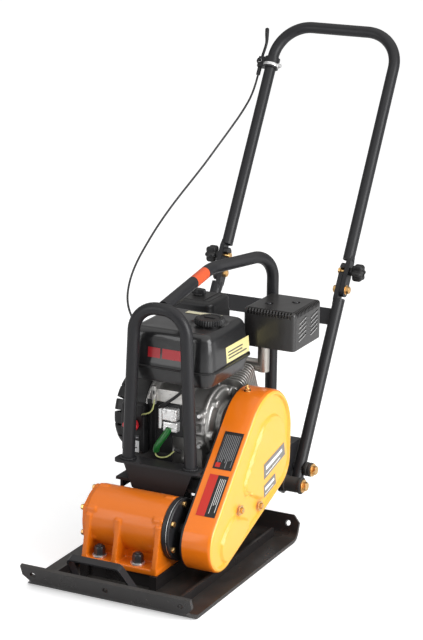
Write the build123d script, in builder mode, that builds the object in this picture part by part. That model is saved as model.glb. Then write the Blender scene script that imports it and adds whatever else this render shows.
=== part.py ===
"""Forward vibratory plate compactor, modelled in millimetres.

Frame: +Z up, -Y towards the exciter at the front, +Y towards the handle, +X towards the belt guard.
The origin is the centre of the sole of the base plate.
"""
from build123d import *
from math import cos, pi, radians, sin, tan
import os

os.makedirs("parts", exist_ok=True)

# ---------------------------------------------------------------- driving dimensions
plate_width = 400
plate_thick = 8
floor_half = 232            # from the centre to the start of each lip's bend
bend_radius = 20            # inside radius of the bend
lip_angle = 68
lip_run = 37                # flat length of a lip above its bend
lip_hole_x = 174
hole_r = 6.5

exciter_y, exciter_z = -80, 120     # axis of the eccentric shaft
exciter_r = 66
exciter_left, exciter_right = -116, 67
foot_z = 38                 # underside of the exciter's feet
foot_thick = 14

bed_z = 184                 # underside of the engine bed
bed_thick = 6
bed_half = 105
bed_front, bed_rear = -30, 392
flange_z = 236              # top of the front shelf, where the hoop stands

tube_r = 13.5
tube_wall = 2.5
hoop_y = -28
hoop_top = 577

crank_y, crank_z = 128, 296
cylinder_tilt = 25          # the cylinder leans back to this angle above level
case_r = 76
fan_r = 104

guard_in, guard_out = 109, 177
sheet = 2.5
guard_circles = [(150, 262, 112), (195, 200, 66), (-70, 102, 64)]   # y, z, radius

belt_x = 132
clutch_belt_r = 49
pulley_belt_r = 35

handle_half = 156
pivot_y, pivot_z = 354.6, 132
stop_y, stop_z, stop_r = 304, 110, 19
handle_lean = 30
fold_at = 424.3             # distances from the pivot along the legs
knob_at = 468
tongue_low, tongue_high = 401, 487
crossbar_at = 357
top_bar_at = 1054.3
throttle_at = 957
bolt_r = 6
running = 0.05              # radial clearance of a turning fit


def save(builder, label):
    """Label a finished piece and write it as its own file."""
    builder.part.label = label
    export_step(builder.part, f"parts/{label}.step")


def side(x, y=0, z=0):
    """A plane across the machine at x: its own x runs along +Y, its own y along +Z."""
    return Plane(origin=(x, y, z), x_dir=(0, 1, 0), z_dir=(1, 0, 0))


def leg_side(x):
    """A plane across a handle leg: its own x runs up the leg, its own y points forwards."""
    up_leg = (0, sin(radians(handle_lean)), cos(radians(handle_lean)))
    return Plane(origin=(x, pivot_y, pivot_z), x_dir=up_leg, z_dir=(1, 0, 0))


leg_plane = Plane(origin=(0, pivot_y, pivot_z), x_dir=(1, 0, 0),
                  z_dir=(0, -cos(radians(handle_lean)), sin(radians(handle_lean))))
cylinder_plane = Plane(origin=(0, crank_y, crank_z), x_dir=(1, 0, 0),
                       z_dir=(0, cos(radians(cylinder_tilt)), sin(radians(cylinder_tilt))))


def hull(circles, grow=0):
    """A face: the convex outline round a few circles, inside a sketch."""
    for cy, cz, r in circles:
        with Locations((cy, cz)):
            Circle(r + grow)
    make_hull()


# ---------------------------------------------------------------- base plate
lip_up = radians(lip_angle)
with BuildPart() as base_plate:
    with BuildSketch(Plane.YZ) as plate_section:
        with BuildLine() as mid_line:
            centre_z = plate_thick + bend_radius
            Line((0, plate_thick), (floor_half, plate_thick))
            bend = CenterArc((floor_half, centre_z), bend_radius, -90, lip_angle)
            tip = (bend @ 1) + Vector(cos(lip_up), sin(lip_up)) * lip_run
            Line(bend @ 1, tip)
            outer_tip = tip + Vector(sin(lip_up), -cos(lip_up)) * plate_thick
            outer_bend = CenterArc((floor_half, centre_z), bend_radius + plate_thick, -90, lip_angle)
            Line(tip, outer_tip)
            Line(outer_tip, outer_bend @ 1)
            Line(outer_bend @ 0, (0, 0))
            Line((0, 0), (0, plate_thick))
        make_face()
        mirror(about=Plane.YZ)
    extrude(amount=plate_width / 2, both=True)
    lip_mid = (bend @ 1) + Vector(cos(lip_up), sin(lip_up)) * (lip_run * 0.45)
    for end in (-1, 1):
        lip_face = Plane(origin=(0, end * lip_mid.X, lip_mid.Y), x_dir=(1, 0, 0),
                         z_dir=(0, -end * sin(lip_up), cos(lip_up)))
        with BuildSketch(lip_face):
            with Locations((-lip_hole_x, 0), (0, 0), (lip_hole_x, 0)):
                Circle(hole_r)
        extrude(amount=-3 * plate_thick, both=True, mode=Mode.SUBTRACT)
        with BuildSketch(lip_face):
            with Locations(*[(s * plate_width / 2, lip_run * 0.55) for s in (-1, 1)]):
                Rectangle(23, 23, rotation=45)
        extrude(amount=3 * plate_thick, both=True, mode=Mode.SUBTRACT)
save(base_plate, "base_plate")

# flat bar loop welded inside the front lip
loop_lean = radians(20)
with BuildPart() as front_loop:
    loop_plane = Plane(origin=(0, -225, plate_thick + 2), x_dir=(1, 0, 0),
                       z_dir=(0, -cos(loop_lean), -sin(loop_lean)))
    with BuildSketch(loop_plane) as loop_shape:
        with BuildLine():
            FilletPolyline((-88, 0), (-99, 68), (19, 68), (52, 0), radius=7)
            offset(amount=4, side=Side.LEFT)
        make_face()
    extrude(amount=-18)
save(front_loop, "front_loop")

# ribs along the plate, and the bars that the exciter stands on
with BuildPart() as plate_ribs:
    with BuildSketch(Plane.XY.offset(plate_thick)):
        with Locations((-148, 0), (148, 0)):
            Rectangle(6, 2 * floor_half)
    extrude(amount=20)
    with BuildSketch(Plane.XY.offset(plate_thick)):
        for x in (exciter_left + 8, exciter_right - 8):
            with Locations((x, exciter_y)):
                Rectangle(16, 172)
    extrude(amount=foot_z - plate_thick)
    with BuildSketch(Plane.XY.offset(plate_thick)):
        with Locations(((exciter_left + exciter_right) / 2, exciter_y - 62),
                       ((exciter_left + exciter_right) / 2, exciter_y + 62)):
            Rectangle(exciter_right - exciter_left - 32, 26)
    extrude(amount=foot_z - plate_thick)
    with Locations((-80, exciter_y - 65, foot_z), (12, exciter_y - 65, foot_z),
                   (-80, exciter_y + 65, foot_z), (12, exciter_y + 65, foot_z)):
        Hole(radius=bolt_r, depth=24)
save(plate_ribs, "plate_ribs")

# towers and rubber mounts between the plate and the engine bed
mount_x, mount_y = 76, (60, 205)
mount_spots = [(s * mount_x, y) for s in (-1, 1) for y in mount_y]
mount_high = 40
with BuildPart() as mount_towers:
    with BuildSketch(Plane.XY.offset(plate_thick)):
        with Locations(*mount_spots):
            Rectangle(44, 50)
            Rectangle(44, 40, mode=Mode.SUBTRACT)
    extrude(amount=bed_z - mount_high - plate_thick)
    with BuildSketch(Plane.XY.offset(bed_z - mount_high - 5)):
        with Locations(*mount_spots):
            Rectangle(44, 50)
    extrude(amount=5)
save(mount_towers, "mount_towers")

with BuildPart() as shock_mounts:
    with BuildSketch(Plane.XY.offset(bed_z - mount_high)):
        with Locations(*mount_spots):
            Circle(20)
    extrude(amount=mount_high)
save(shock_mounts, "shock_mounts")

# ---------------------------------------------------------------- exciter
exciter_len = exciter_right - exciter_left
foot_spots = [(x, exciter_y + s * 65) for x in (-80, 12) for s in (-1, 1)]
with BuildPart() as exciter_housing:
    with BuildSketch(side(exciter_left, exciter_y, exciter_z)):
        Circle(exciter_r)
        with Locations((0, foot_z - exciter_z + foot_thick / 2)):
            Rectangle(170, foot_thick)
    extrude(amount=exciter_len)
    for x in (exciter_left + 3, -42, exciter_right - 14):
        with BuildSketch(side(x, exciter_y, exciter_z)):
            with BuildLine():
                Polyline((-84, foot_z - exciter_z), (-84, foot_z - exciter_z + 18),
                         (-58, -8), (58, -8), (84, foot_z - exciter_z + 18), (84, foot_z - exciter_z), close=True)
            make_face()
        extrude(amount=10)
    with BuildSketch(side(exciter_left, exciter_y, exciter_z)):
        Circle(40)
    extrude(amount=exciter_len, mode=Mode.SUBTRACT)
    with BuildSketch(side(exciter_left + 20, exciter_y, exciter_z)):
        Circle(50)
    extrude(amount=exciter_len - 40, mode=Mode.SUBTRACT)
    with BuildSketch(Plane.XY.offset(foot_z)):
        with Locations(*foot_spots):
            Circle(bolt_r)
    extrude(amount=foot_thick, mode=Mode.SUBTRACT)
save(exciter_housing, "exciter_housing")

cover_thick = 10
with BuildPart() as exciter_end_cover:
    with BuildSketch(side(exciter_left - cover_thick, exciter_y, exciter_z)):
        Circle(exciter_r)
    extrude(amount=cover_thick)
    fillet(exciter_end_cover.faces().sort_by(Axis.X)[0].edges(), 3)
    with BuildSketch(side(exciter_left - 5, exciter_y, exciter_z)):
        Circle(17)
    extrude(amount=5, mode=Mode.SUBTRACT)
save(exciter_end_cover, "exciter_end_cover")

flange_thick = 18
with BuildPart() as exciter_flange:
    with BuildSketch(side(exciter_right, exciter_y, exciter_z)):
        Circle(exciter_r + 1)
        Circle(17, mode=Mode.SUBTRACT)
    extrude(amount=flange_thick)
save(exciter_flange, "exciter_flange")

# the same small bolts hold both covers of the exciter and the belt guard
cover_bolt_r, cover_bolt_high = 6.5, 6
with BuildPart() as cover_bolts:
    for x, out in ((exciter_left - cover_thick, -1), (exciter_right + flange_thick, 1)):
        with BuildSketch(side(x, exciter_y, exciter_z)):
            with PolarLocations(57, 6, start_angle=30):
                RegularPolygon(cover_bolt_r, 6)
        extrude(amount=out * cover_bolt_high)
    with BuildSketch(side(guard_out)):
        with Locations((8, 150), (104, 128)):
            RegularPolygon(cover_bolt_r, 6)
    extrude(amount=cover_bolt_high)
save(cover_bolts, "cover_bolts")

with BuildPart() as exciter_mount_bolts:
    with BuildSketch(Plane.XY.offset(foot_z + foot_thick)):
        with Locations(*foot_spots):
            Circle(13)
    extrude(amount=3)
    with BuildSketch(Plane.XY.offset(foot_z + foot_thick + 3)):
        with Locations(*foot_spots):
            RegularPolygon(10.5, 6)
    extrude(amount=9)
    with BuildSketch(Plane.XY.offset(foot_z - 22)):
        with Locations(*foot_spots):
            Circle(bolt_r)
    extrude(amount=22 + foot_thick)
save(exciter_mount_bolts, "exciter_mount_bolts")

shaft_r = 15
with BuildPart() as exciter_bearings:
    for x in (exciter_left + 1, exciter_right - 19):
        with BuildSketch(side(x, exciter_y, exciter_z)):
            Circle(40)
            Circle(shaft_r + running, mode=Mode.SUBTRACT)
        extrude(amount=18)
save(exciter_bearings, "exciter_bearings")

with BuildPart() as eccentric_shaft:
    with BuildSketch(side(exciter_left - 2, exciter_y, exciter_z)):
        Circle(shaft_r)
    extrude(amount=116 - exciter_left + 2)
    with BuildSketch(side(116, exciter_y, exciter_z)):
        Circle(12)
    extrude(amount=30)
    with BuildSketch(side(-66, exciter_y, exciter_z)):
        Circle(45)
        with Locations((0, 40)):
            Rectangle(100, 80, mode=Mode.SUBTRACT)
    extrude(amount=84)
save(eccentric_shaft, "eccentric_shaft")

pulley_half = 10
groove_half = 6.5
with BuildPart() as exciter_pulley:
    with BuildSketch(side(belt_x - pulley_half, exciter_y, exciter_z)):
        Circle(pulley_belt_r + 1)
        Circle(12, mode=Mode.SUBTRACT)
    extrude(amount=2 * pulley_half)
    with BuildSketch(side(belt_x - groove_half, exciter_y, exciter_z)):
        Circle(pulley_belt_r + 5)
        Circle(pulley_belt_r - 9, mode=Mode.SUBTRACT)
    extrude(amount=2 * groove_half, mode=Mode.SUBTRACT)
save(exciter_pulley, "exciter_pulley")

# ---------------------------------------------------------------- engine bed and its frame
shelf_thick = 6
with BuildPart() as engine_bed:
    with BuildSketch(Plane.XY.offset(bed_z)):
        with BuildLine():
            Polyline((0, bed_front), (bed_half, bed_front), (bed_half, 272), (141, 290), (141, bed_rear),
                     (0, bed_rear))
            mirror(about=Plane.YZ)
        make_face()
        with Locations((0, 128)):
            Rectangle(70, 150, mode=Mode.SUBTRACT)
    extrude(amount=bed_thick)
    with BuildSketch(Plane.XZ.offset(-bed_front)):
        with BuildLine():
            Polyline((-62, 174), (62, 174), (84, flange_z - shelf_thick), (-84, flange_z - shelf_thick), close=True)
        make_face()
    extrude(amount=6)
    with BuildSketch(Plane.XY.offset(flange_z - shelf_thick)):
        with Locations((0, hoop_y)):
            RectangleRounded(206, 42, 14)
    extrude(amount=shelf_thick)
    with BuildSketch(Plane.XY.offset(bed_z - 24)):
        for s in (-1, 1):
            with Locations((s * (bed_half - 3), 125)):
                Rectangle(6, 270)
    extrude(amount=24)
save(engine_bed, "engine_bed")

with BuildPart() as front_hoop:
    with BuildLine(Plane.XZ.offset(-hoop_y)) as hoop_line:
        FilletPolyline((-75, flange_z), (-60, hoop_top), (60, hoop_top), (75, flange_z), radius=56)
    with BuildSketch(Plane(origin=hoop_line.line @ 0, z_dir=hoop_line.line % 0)):
        Circle(tube_r)
        Circle(tube_r - tube_wall, mode=Mode.SUBTRACT)
    sweep(path=hoop_line.line)
    split(bisect_by=Plane.XY.offset(flange_z), keep=Keep.TOP)
save(front_hoop, "front_hoop")

arch_foot = (72, 372)
arch_points = [(0, hoop_y + tube_r, hoop_top), (0, 205, 612), (*arch_foot, 618), (*arch_foot, bed_z + bed_thick)]
with BuildPart() as lifting_arch:
    with BuildLine() as arch_line:
        FilletPolyline(*arch_points, radius=[90, 55])
    with BuildSketch(Plane(origin=arch_line.line @ 0, z_dir=arch_line.line % 0)):
        Circle(tube_r)
        Circle(tube_r - tube_wall, mode=Mode.SUBTRACT)
    sweep(path=arch_line.line)
    with BuildSketch(Plane.XZ.offset(-hoop_y)):
        with Locations((0, hoop_top)):
            Rectangle(90, 2 * tube_r)
    extrude(amount=-tube_r - 0.2, mode=Mode.SUBTRACT)
save(lifting_arch, "lifting_arch")

with BuildPart() as handle_brackets:
    with BuildSketch(side(135)):
        with BuildLine():
            Polyline((285, bed_z), (285, 96), (306, 84), (340, 98), (380, 122), (388, bed_z), close=True)
        make_face()
        with Locations((pivot_y, pivot_z), (stop_y, stop_z)):
            Circle(bolt_r, mode=Mode.SUBTRACT)
    extrude(amount=6)
    mirror(about=Plane.YZ)
save(handle_brackets, "handle_brackets")

bush_out = 187
with BuildPart() as rubber_bushings:
    with BuildSketch(side(171)):
        with Locations((pivot_y, pivot_z)):
            Circle(16)
            Circle(bolt_r, mode=Mode.SUBTRACT)
    extrude(amount=bush_out - 171)
    with BuildSketch(side(141)):
        with Locations((stop_y, stop_z)):
            Circle(stop_r)
            Circle(bolt_r, mode=Mode.SUBTRACT)
    extrude(amount=bush_out - 141)
    mirror(about=Plane.YZ)
save(rubber_bushings, "rubber_bushings")

bolt_spots = [(pivot_y, pivot_z), (stop_y, stop_z)]
with BuildPart() as bracket_bolts:
    with BuildSketch(side(128)):
        with Locations(*bolt_spots):
            Circle(bolt_r)
    extrude(amount=bush_out - 128)
    with BuildSketch(side(bush_out)):
        with Locations(*bolt_spots):
            Circle(15)
    extrude(amount=3)
    with BuildSketch(side(bush_out + 3)):
        with Locations(*bolt_spots):
            RegularPolygon(10.5, 6)
    extrude(amount=8)
    with BuildSketch(side(128)):
        with Locations(*bolt_spots):
            RegularPolygon(10.5, 6)
    extrude(amount=7)
    mirror(about=Plane.YZ)
save(bracket_bolts, "bracket_bolts")

# ---------------------------------------------------------------- belt guard and drive
with BuildPart() as guard_back_plate:
    with BuildSketch(side(guard_in - 4)):
        hull(guard_circles)
        with Locations((crank_y, crank_z)):
            Circle(40, mode=Mode.SUBTRACT)
        with Locations((exciter_y, exciter_z)):
            Circle(28, mode=Mode.SUBTRACT)
    extrude(amount=4)
save(guard_back_plate, "guard_back_plate")

with BuildPart() as guard_space:
    with BuildSketch(side(guard_in)):
        hull(guard_circles, -sheet)
    extrude(amount=guard_out - guard_in - sheet)
    fillet(guard_space.faces().sort_by(Axis.X)[-1].edges(), 8)
with BuildPart() as belt_guard:
    with BuildSketch(side(guard_in)):
        hull(guard_circles)
    extrude(amount=guard_out - guard_in)
    fillet(belt_guard.faces().sort_by(Axis.X)[-1].edges(), 10)
    add(guard_space.part, mode=Mode.SUBTRACT)
save(belt_guard, "belt_guard")

belt_half = 6
belt_circles = [(crank_y, crank_z, clutch_belt_r), (exciter_y, exciter_z, pulley_belt_r)]
with BuildPart() as belt_hole:
    with BuildSketch(side(belt_x - belt_half)):
        hull(belt_circles, -8)
    extrude(amount=2 * belt_half)
with BuildPart() as drive_belt:
    with BuildSketch(side(belt_x - belt_half)):
        hull(belt_circles)
    extrude(amount=2 * belt_half)
    add(belt_hole.part, mode=Mode.SUBTRACT)
save(drive_belt, "drive_belt")

# ---------------------------------------------------------------- engine
journal_r, output_r = 12, 10
case_left, case_right = -70, 62
case_foot = [(60, 198, 8), (200, 198, 8)]
case_circles = [(crank_y, crank_z, case_r)] + case_foot
with BuildPart() as case_space:
    with BuildSketch(side(case_left + 10)):
        hull([(crank_y, crank_z, case_r - 8)])
    extrude(amount=case_right - case_left - 10)
with BuildPart() as crankcase:
    with BuildSketch(side(case_left)):
        hull(case_circles)
    extrude(amount=case_right - case_left)
    with BuildSketch(side(case_left)):
        with Locations((crank_y, crank_z)):
            Circle(fan_r)
    extrude(amount=6)
    with BuildSketch(Plane.XY.offset(bed_z + bed_thick)):
        with Locations((0, 128)):
            RectangleRounded(140, 186, 10)
    extrude(amount=8)
    add(case_space.part, mode=Mode.SUBTRACT)
    with BuildSketch(side(case_left)):
        with Locations((crank_y, crank_z)):
            Circle(journal_r + running)
    extrude(amount=12, mode=Mode.SUBTRACT)
    with BuildSketch(cylinder_plane.offset(50)):
        Circle(34)
    extrude(amount=60, mode=Mode.SUBTRACT)
    with BuildSketch(Plane.XZ.offset(-35)):
        with Locations((36, 216)):
            Circle(11)
    extrude(amount=-22)
save(crankcase, "crankcase")

with BuildPart() as side_cover:
    with BuildSketch(side(case_right, crank_y, crank_z)):
        Circle(case_r)
    extrude(amount=14)
    fillet(side_cover.faces().sort_by(Axis.X)[-1].edges(), 5)
    with BuildSketch(side(case_right + 14, crank_y, crank_z)):
        Circle(30)
    extrude(amount=10)
    with BuildSketch(side(case_right, crank_y, crank_z)):
        Circle(journal_r + running)
    extrude(amount=24, mode=Mode.SUBTRACT)
save(side_cover, "side_cover")

engine_feet = [(x, y) for x in (-52, 52) for y in (41, 215)]
with BuildPart() as engine_bolts:
    with BuildSketch(side(case_right + 14, crank_y, crank_z)):
        with PolarLocations(66, 6, start_angle=10):
            RegularPolygon(6, 6)
    extrude(amount=6)
    with BuildSketch(Plane.XY.offset(bed_z + bed_thick + 8)):
        with Locations(*engine_feet):
            RegularPolygon(7, 6)
    extrude(amount=7)
save(engine_bolts, "engine_bolts")

with BuildPart() as cylinder:
    with BuildSketch(cylinder_plane.offset(80)):
        Rectangle(72, 80)
        Circle(30, mode=Mode.SUBTRACT)
    extrude(amount=62)
    for step in range(6):
        with BuildSketch(cylinder_plane.offset(84 + step * 10)):
            Rectangle(96, 98)
            Circle(30, mode=Mode.SUBTRACT)
        extrude(amount=4)
    with BuildSketch(side(-60)):
        with Locations((crank_y, crank_z)):
            Circle(case_r + 0.5)
            Circle(10, mode=Mode.SUBTRACT)
    extrude(amount=125, mode=Mode.SUBTRACT)
save(cylinder, "cylinder")

with BuildPart() as cylinder_head:
    with BuildSketch(cylinder_plane.offset(142)):
        Rectangle(92, 94)
    extrude(amount=24)
save(cylinder_head, "cylinder_head")

with BuildPart() as rocker_cover:
    with BuildSketch(cylinder_plane.offset(166)):
        RectangleRounded(78, 78, 12)
    extrude(amount=24)
    fillet(rocker_cover.faces().sort_by(Axis((0, 0, 0), tuple(cylinder_plane.z_dir)))[-1].edges(), 6)
save(rocker_cover, "rocker_cover")

plug_plane = Plane(origin=cylinder_plane.from_local_coords((30, -47, 154)), z_dir=-cylinder_plane.y_dir)
with BuildPart() as spark_plug:
    with BuildSketch(plug_plane):
        Circle(8)
    extrude(amount=16)
    with BuildSketch(plug_plane.offset(16)):
        Circle(11)
    extrude(amount=24)
save(spark_plug, "spark_plug")

carb_mid = (-66.5, 289)
with BuildPart() as carburettor:
    with BuildSketch(Plane.XY.offset(352)):
        with Locations(carb_mid):
            RectangleRounded(35, 42, 6)
    extrude(amount=52)
    with BuildSketch(Plane.XY.offset(390)):
        with Locations((-94, 281)):
            Rectangle(20, 8)
    extrude(amount=14)
save(carburettor, "carburettor")

cleaner_box = (-131, -11, 235, 345)         # low and high x, low and high y
cleaner_mid = ((cleaner_box[0] + cleaner_box[1]) / 2, (cleaner_box[2] + cleaner_box[3]) / 2)
with BuildPart() as air_cleaner_base:
    with BuildSketch(Plane.XY.offset(432)):
        with Locations(cleaner_mid):
            RectangleRounded(114, 104, 16)
    extrude(amount=14)
    with BuildSketch(Plane.XY.offset(404)):
        with Locations(carb_mid):
            Circle(17)
    extrude(amount=28)
    with BuildSketch(Plane.XY.offset(446)):
        with Locations(cleaner_mid):
            Circle(4)
    extrude(amount=79)
save(air_cleaner_base, "air_cleaner_base")

with BuildPart() as air_cleaner_cover:
    with BuildSketch(Plane.XY.offset(446)):
        with Locations(cleaner_mid):
            RectangleRounded(120, 110, 18)
    extrude(amount=76)
    fillet(air_cleaner_cover.faces().sort_by(Axis.Z)[-1].edges(), 12)
    with BuildSketch(Plane.XY.offset(446)):
        with Locations(cleaner_mid):
            RectangleRounded(114, 104, 15)
    extrude(amount=70, mode=Mode.SUBTRACT)
    with Locations((*cleaner_mid, 522)):
        Hole(radius=5)
save(air_cleaner_cover, "air_cleaner_cover")

with BuildPart() as air_cleaner_knob:
    with BuildSketch(Plane.XY.offset(522.5)):
        with Locations(cleaner_mid):
            Circle(13)
            Circle(4 + running, mode=Mode.SUBTRACT)
    extrude(amount=4)
    with BuildSketch(Plane.XY.offset(526.5)):
        with Locations(cleaner_mid):
            Circle(9)
            Rectangle(34, 7)
    extrude(amount=11)
save(air_cleaner_knob, "air_cleaner_knob")

muffler_mid = (141.5, 275)
with BuildPart() as muffler:
    with BuildSketch(Plane.XY.offset(456)):
        with Locations(muffler_mid):
            RectangleRounded(104, 116, 26)
    extrude(amount=70)
    with BuildSketch(side(40)):
        with Locations((258, 392)):
            Circle(14)
    extrude(amount=66)
    with BuildSketch(Plane.XY.offset(380)):
        with Locations((106, 258)):
            Circle(13)
    extrude(amount=78)
    with BuildSketch(cylinder_plane.offset(140)):
        Rectangle(96, 98)
    extrude(amount=30, mode=Mode.SUBTRACT)
save(muffler, "muffler")

with BuildPart() as muffler_guard:
    with BuildSketch(Plane.XY.offset(450)):
        with Locations(muffler_mid):
            RectangleRounded(123, 140, 8)
    extrude(amount=86)
    chamfer(muffler_guard.faces().sort_by(Axis.Z)[-1].edges(), 7)
    with BuildSketch(Plane.XY.offset(450)):
        with Locations(muffler_mid):
            RectangleRounded(119, 136, 6)
    extrude(amount=77, mode=Mode.SUBTRACT)
    with BuildSketch(Plane.XZ.offset(-300)):
        for row in range(4):
            with Locations((190, 470 + row * 14)):
                SlotOverall(30, 4)
    with BuildSketch(side(195)):
        for column in (245, 310):
            for row in range(5):
                with Locations((column, 462 + row * 13)):
                    SlotOverall(40, 4.5, rotation=-12)
    extrude(amount=20, mode=Mode.SUBTRACT)
save(muffler_guard, "muffler_guard")

fan_circles = [(crank_y, crank_z, fan_r), (215, 345, 50)]
fan_face = -122
with BuildPart() as fan_space:
    with BuildSketch(side(fan_face + sheet)):
        hull(fan_circles, -sheet)
    extrude(amount=case_left - fan_face - sheet)
with BuildPart() as fan_housing:
    with BuildSketch(side(fan_face)):
        hull(fan_circles)
    extrude(amount=case_left - fan_face)
    fillet(fan_housing.faces().sort_by(Axis.X)[0].edges(), 2)
    add(fan_space.part, mode=Mode.SUBTRACT)
    with BuildSketch(side(fan_face - 1, crank_y, crank_z)):
        Circle(62)
    extrude(amount=10, mode=Mode.SUBTRACT)
save(fan_housing, "fan_housing")

recoil_r, recoil_deep = 88, 30
with BuildPart() as recoil_cover:
    with BuildSketch(side(fan_face - recoil_deep, crank_y, crank_z)):
        Circle(recoil_r)
    extrude(amount=recoil_deep)
    fillet(recoil_cover.faces().sort_by(Axis.X)[0].edges(), 14)
    with BuildSketch(side(fan_face - recoil_deep + 3, crank_y, crank_z)):
        Circle(recoil_r - 12)
    extrude(amount=recoil_deep - 3, mode=Mode.SUBTRACT)
    with BuildSketch(side(fan_face - recoil_deep - 1, crank_y, crank_z)):
        with PolarLocations(56, 14):
            SlotOverall(34, 7)
    extrude(amount=6, mode=Mode.SUBTRACT)
save(recoil_cover, "recoil_cover")

with BuildPart() as crankshaft:
    with BuildSketch(side(-116, crank_y, crank_z)):
        Circle(journal_r)
    extrude(amount=204)
    with BuildSketch(side(88, crank_y, crank_z)):
        Circle(output_r)
    extrude(amount=74)
    for x in (-30, 14):
        with BuildSketch(side(x, crank_y, crank_z)):
            Circle(42)
        extrude(amount=14)
save(crankshaft, "crankshaft")

with BuildPart() as flywheel:
    with BuildSketch(side(-104, crank_y, crank_z)):
        Circle(84)
        Circle(journal_r, mode=Mode.SUBTRACT)
    extrude(amount=24)
    with BuildSketch(side(-114, crank_y, crank_z)):
        with PolarLocations(66, 12):
            Rectangle(30, 4)
    extrude(amount=10)
save(flywheel, "flywheel")

with BuildPart() as clutch:
    with BuildSketch(side(belt_x - pulley_half, crank_y, crank_z)):
        Circle(clutch_belt_r + 1)
        Circle(output_r, mode=Mode.SUBTRACT)
    extrude(amount=2 * pulley_half)
    with BuildSketch(side(belt_x + pulley_half, crank_y, crank_z)):
        Circle(55)
        Circle(output_r, mode=Mode.SUBTRACT)
    extrude(amount=22)
    with BuildSketch(side(belt_x - groove_half, crank_y, crank_z)):
        Circle(clutch_belt_r + 5)
        Circle(clutch_belt_r - 9, mode=Mode.SUBTRACT)
    extrude(amount=2 * groove_half, mode=Mode.SUBTRACT)
save(clutch, "clutch")

# fuel tank: two pressed halves joined at a seam flange
tank_mid = (3, 98)
seam_z, tank_top, tank_bottom = 438, 521, 405
with BuildPart() as tank_lower:
    with BuildSketch(Plane.XY.offset(seam_z)):
        with Locations(tank_mid):
            RectangleRounded(206, 200, 30)
    extrude(amount=tank_bottom - seam_z, taper=8)
    fillet(tank_lower.faces().sort_by(Axis.Z)[0].edges(), 10)
    with BuildSketch(Plane.XY.offset(seam_z)):
        with Locations(tank_mid):
            RectangleRounded(218, 212, 34)
    extrude(amount=2)
    with BuildSketch(Plane.XY.offset(seam_z + 2)):
        with Locations(tank_mid):
            RectangleRounded(200, 194, 28)
    extrude(amount=-(seam_z + 2 - tank_bottom - 3), taper=9, mode=Mode.SUBTRACT)
save(tank_lower, "tank_lower")

cap_mid = (52, 100)
with BuildPart() as tank_upper:
    with BuildSketch(Plane.XY.offset(seam_z + 2)):
        with Locations(tank_mid):
            RectangleRounded(206, 200, 30)
    extrude(amount=tank_top - seam_z - 2, taper=5)
    fillet(tank_upper.faces().sort_by(Axis.Z)[-1].edges(), 16)
    with BuildSketch(Plane.XY.offset(seam_z + 2)):
        with Locations(tank_mid):
            RectangleRounded(218, 212, 34)
    extrude(amount=2)
    with BuildSketch(Plane.XY.offset(seam_z + 2)):
        with Locations(tank_mid):
            RectangleRounded(198, 192, 27)
    extrude(amount=tank_top - seam_z - 6, taper=5.5, mode=Mode.SUBTRACT)
    with BuildSketch(Plane.XY.offset(tank_top - 8)):
        with Locations(cap_mid):
            Circle(24)
            Circle(20, mode=Mode.SUBTRACT)
    extrude(amount=14)
    with BuildSketch(Plane.XY.offset(tank_top - 12)):
        with Locations(cap_mid):
            Circle(20)
    extrude(amount=20, mode=Mode.SUBTRACT)
save(tank_upper, "tank_upper")

with BuildPart() as fuel_cap:
    with BuildSketch(Plane.XY.offset(tank_top + 0.4)):
        with Locations(cap_mid):
            Circle(33)
            Circle(24 + running, mode=Mode.SUBTRACT)
    extrude(amount=6)
    with BuildSketch(Plane.XY.offset(tank_top + 6.4)):
        with Locations(cap_mid):
            Circle(33)
    extrude(amount=9)
    fillet(fuel_cap.faces().sort_by(Axis.Z)[-1].edges(), 3)
save(fuel_cap, "fuel_cap")

# switch panel on the front of the fan housing
panel_front = 8
with BuildPart() as control_panel:
    with BuildSketch(Plane.XZ.offset(-(crank_y - fan_r))):
        with Locations((-84, 291)):
            RectangleRounded(56, 112, 6)
    extrude(amount=crank_y - fan_r - panel_front)
    with BuildSketch(Plane.XZ.offset(-panel_front)):
        with Locations((-84, 300)):
            Circle(4 + running)
    extrude(amount=-12, mode=Mode.SUBTRACT)
save(control_panel, "control_panel")

with BuildPart() as engine_switch:
    with BuildSketch(Plane.XZ.offset(-panel_front + 0.4)):
        with Locations((-84, 300)):
            Circle(13)
            Rectangle(34, 10)
    extrude(amount=15)
    with BuildSketch(Plane.XZ.offset(-panel_front + 0.4)):
        with Locations((-84, 300)):
            Circle(4)
    extrude(amount=-11)
save(engine_switch, "engine_switch")

with BuildPart() as dipstick:
    with BuildSketch(Plane.XZ.offset(-34.5)):
        with Locations((36, 216)):
            Circle(12)
            Rectangle(30, 8)
    extrude(amount=14)
save(dipstick, "dipstick")

# levers on the carburettor
lever_x = -84.4
with BuildPart() as choke_lever:
    with BuildSketch(side(lever_x - 5)):
        with Locations((298, 388)):
            Circle(6)
        with Locations((298, 400)):
            Rectangle(7, 24)
    extrude(amount=5)
save(choke_lever, "choke_lever")

with BuildPart() as fuel_valve_lever:
    with BuildSketch(side(lever_x - 5)):
        with Locations((280, 364)):
            Circle(6)
        with Locations((292, 364)):
            Rectangle(24, 7)
    extrude(amount=5)
save(fuel_valve_lever, "fuel_valve_lever")

with BuildPart() as throttle_arm:
    with BuildSketch(Plane.XY.offset(404.4)):
        with Locations((-96, 281)):
            Circle(7)
        with Locations((-96, 266)):
            Rectangle(8, 30)
    extrude(amount=3)
save(throttle_arm, "throttle_arm")

pull_dir = Vector(-0.8, 0.1, 0.59).normalized()
grip_plane = Plane(origin=(-131, 200, 368), x_dir=(0.1, 0.8, 0), z_dir=pull_dir)
with BuildPart() as starter_grip:
    with BuildSketch(grip_plane):
        Circle(7)
    extrude(amount=12)
    with BuildSketch(grip_plane.offset(12)):
        SlotOverall(64, 20)
    extrude(amount=18)
save(starter_grip, "starter_grip")

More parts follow.
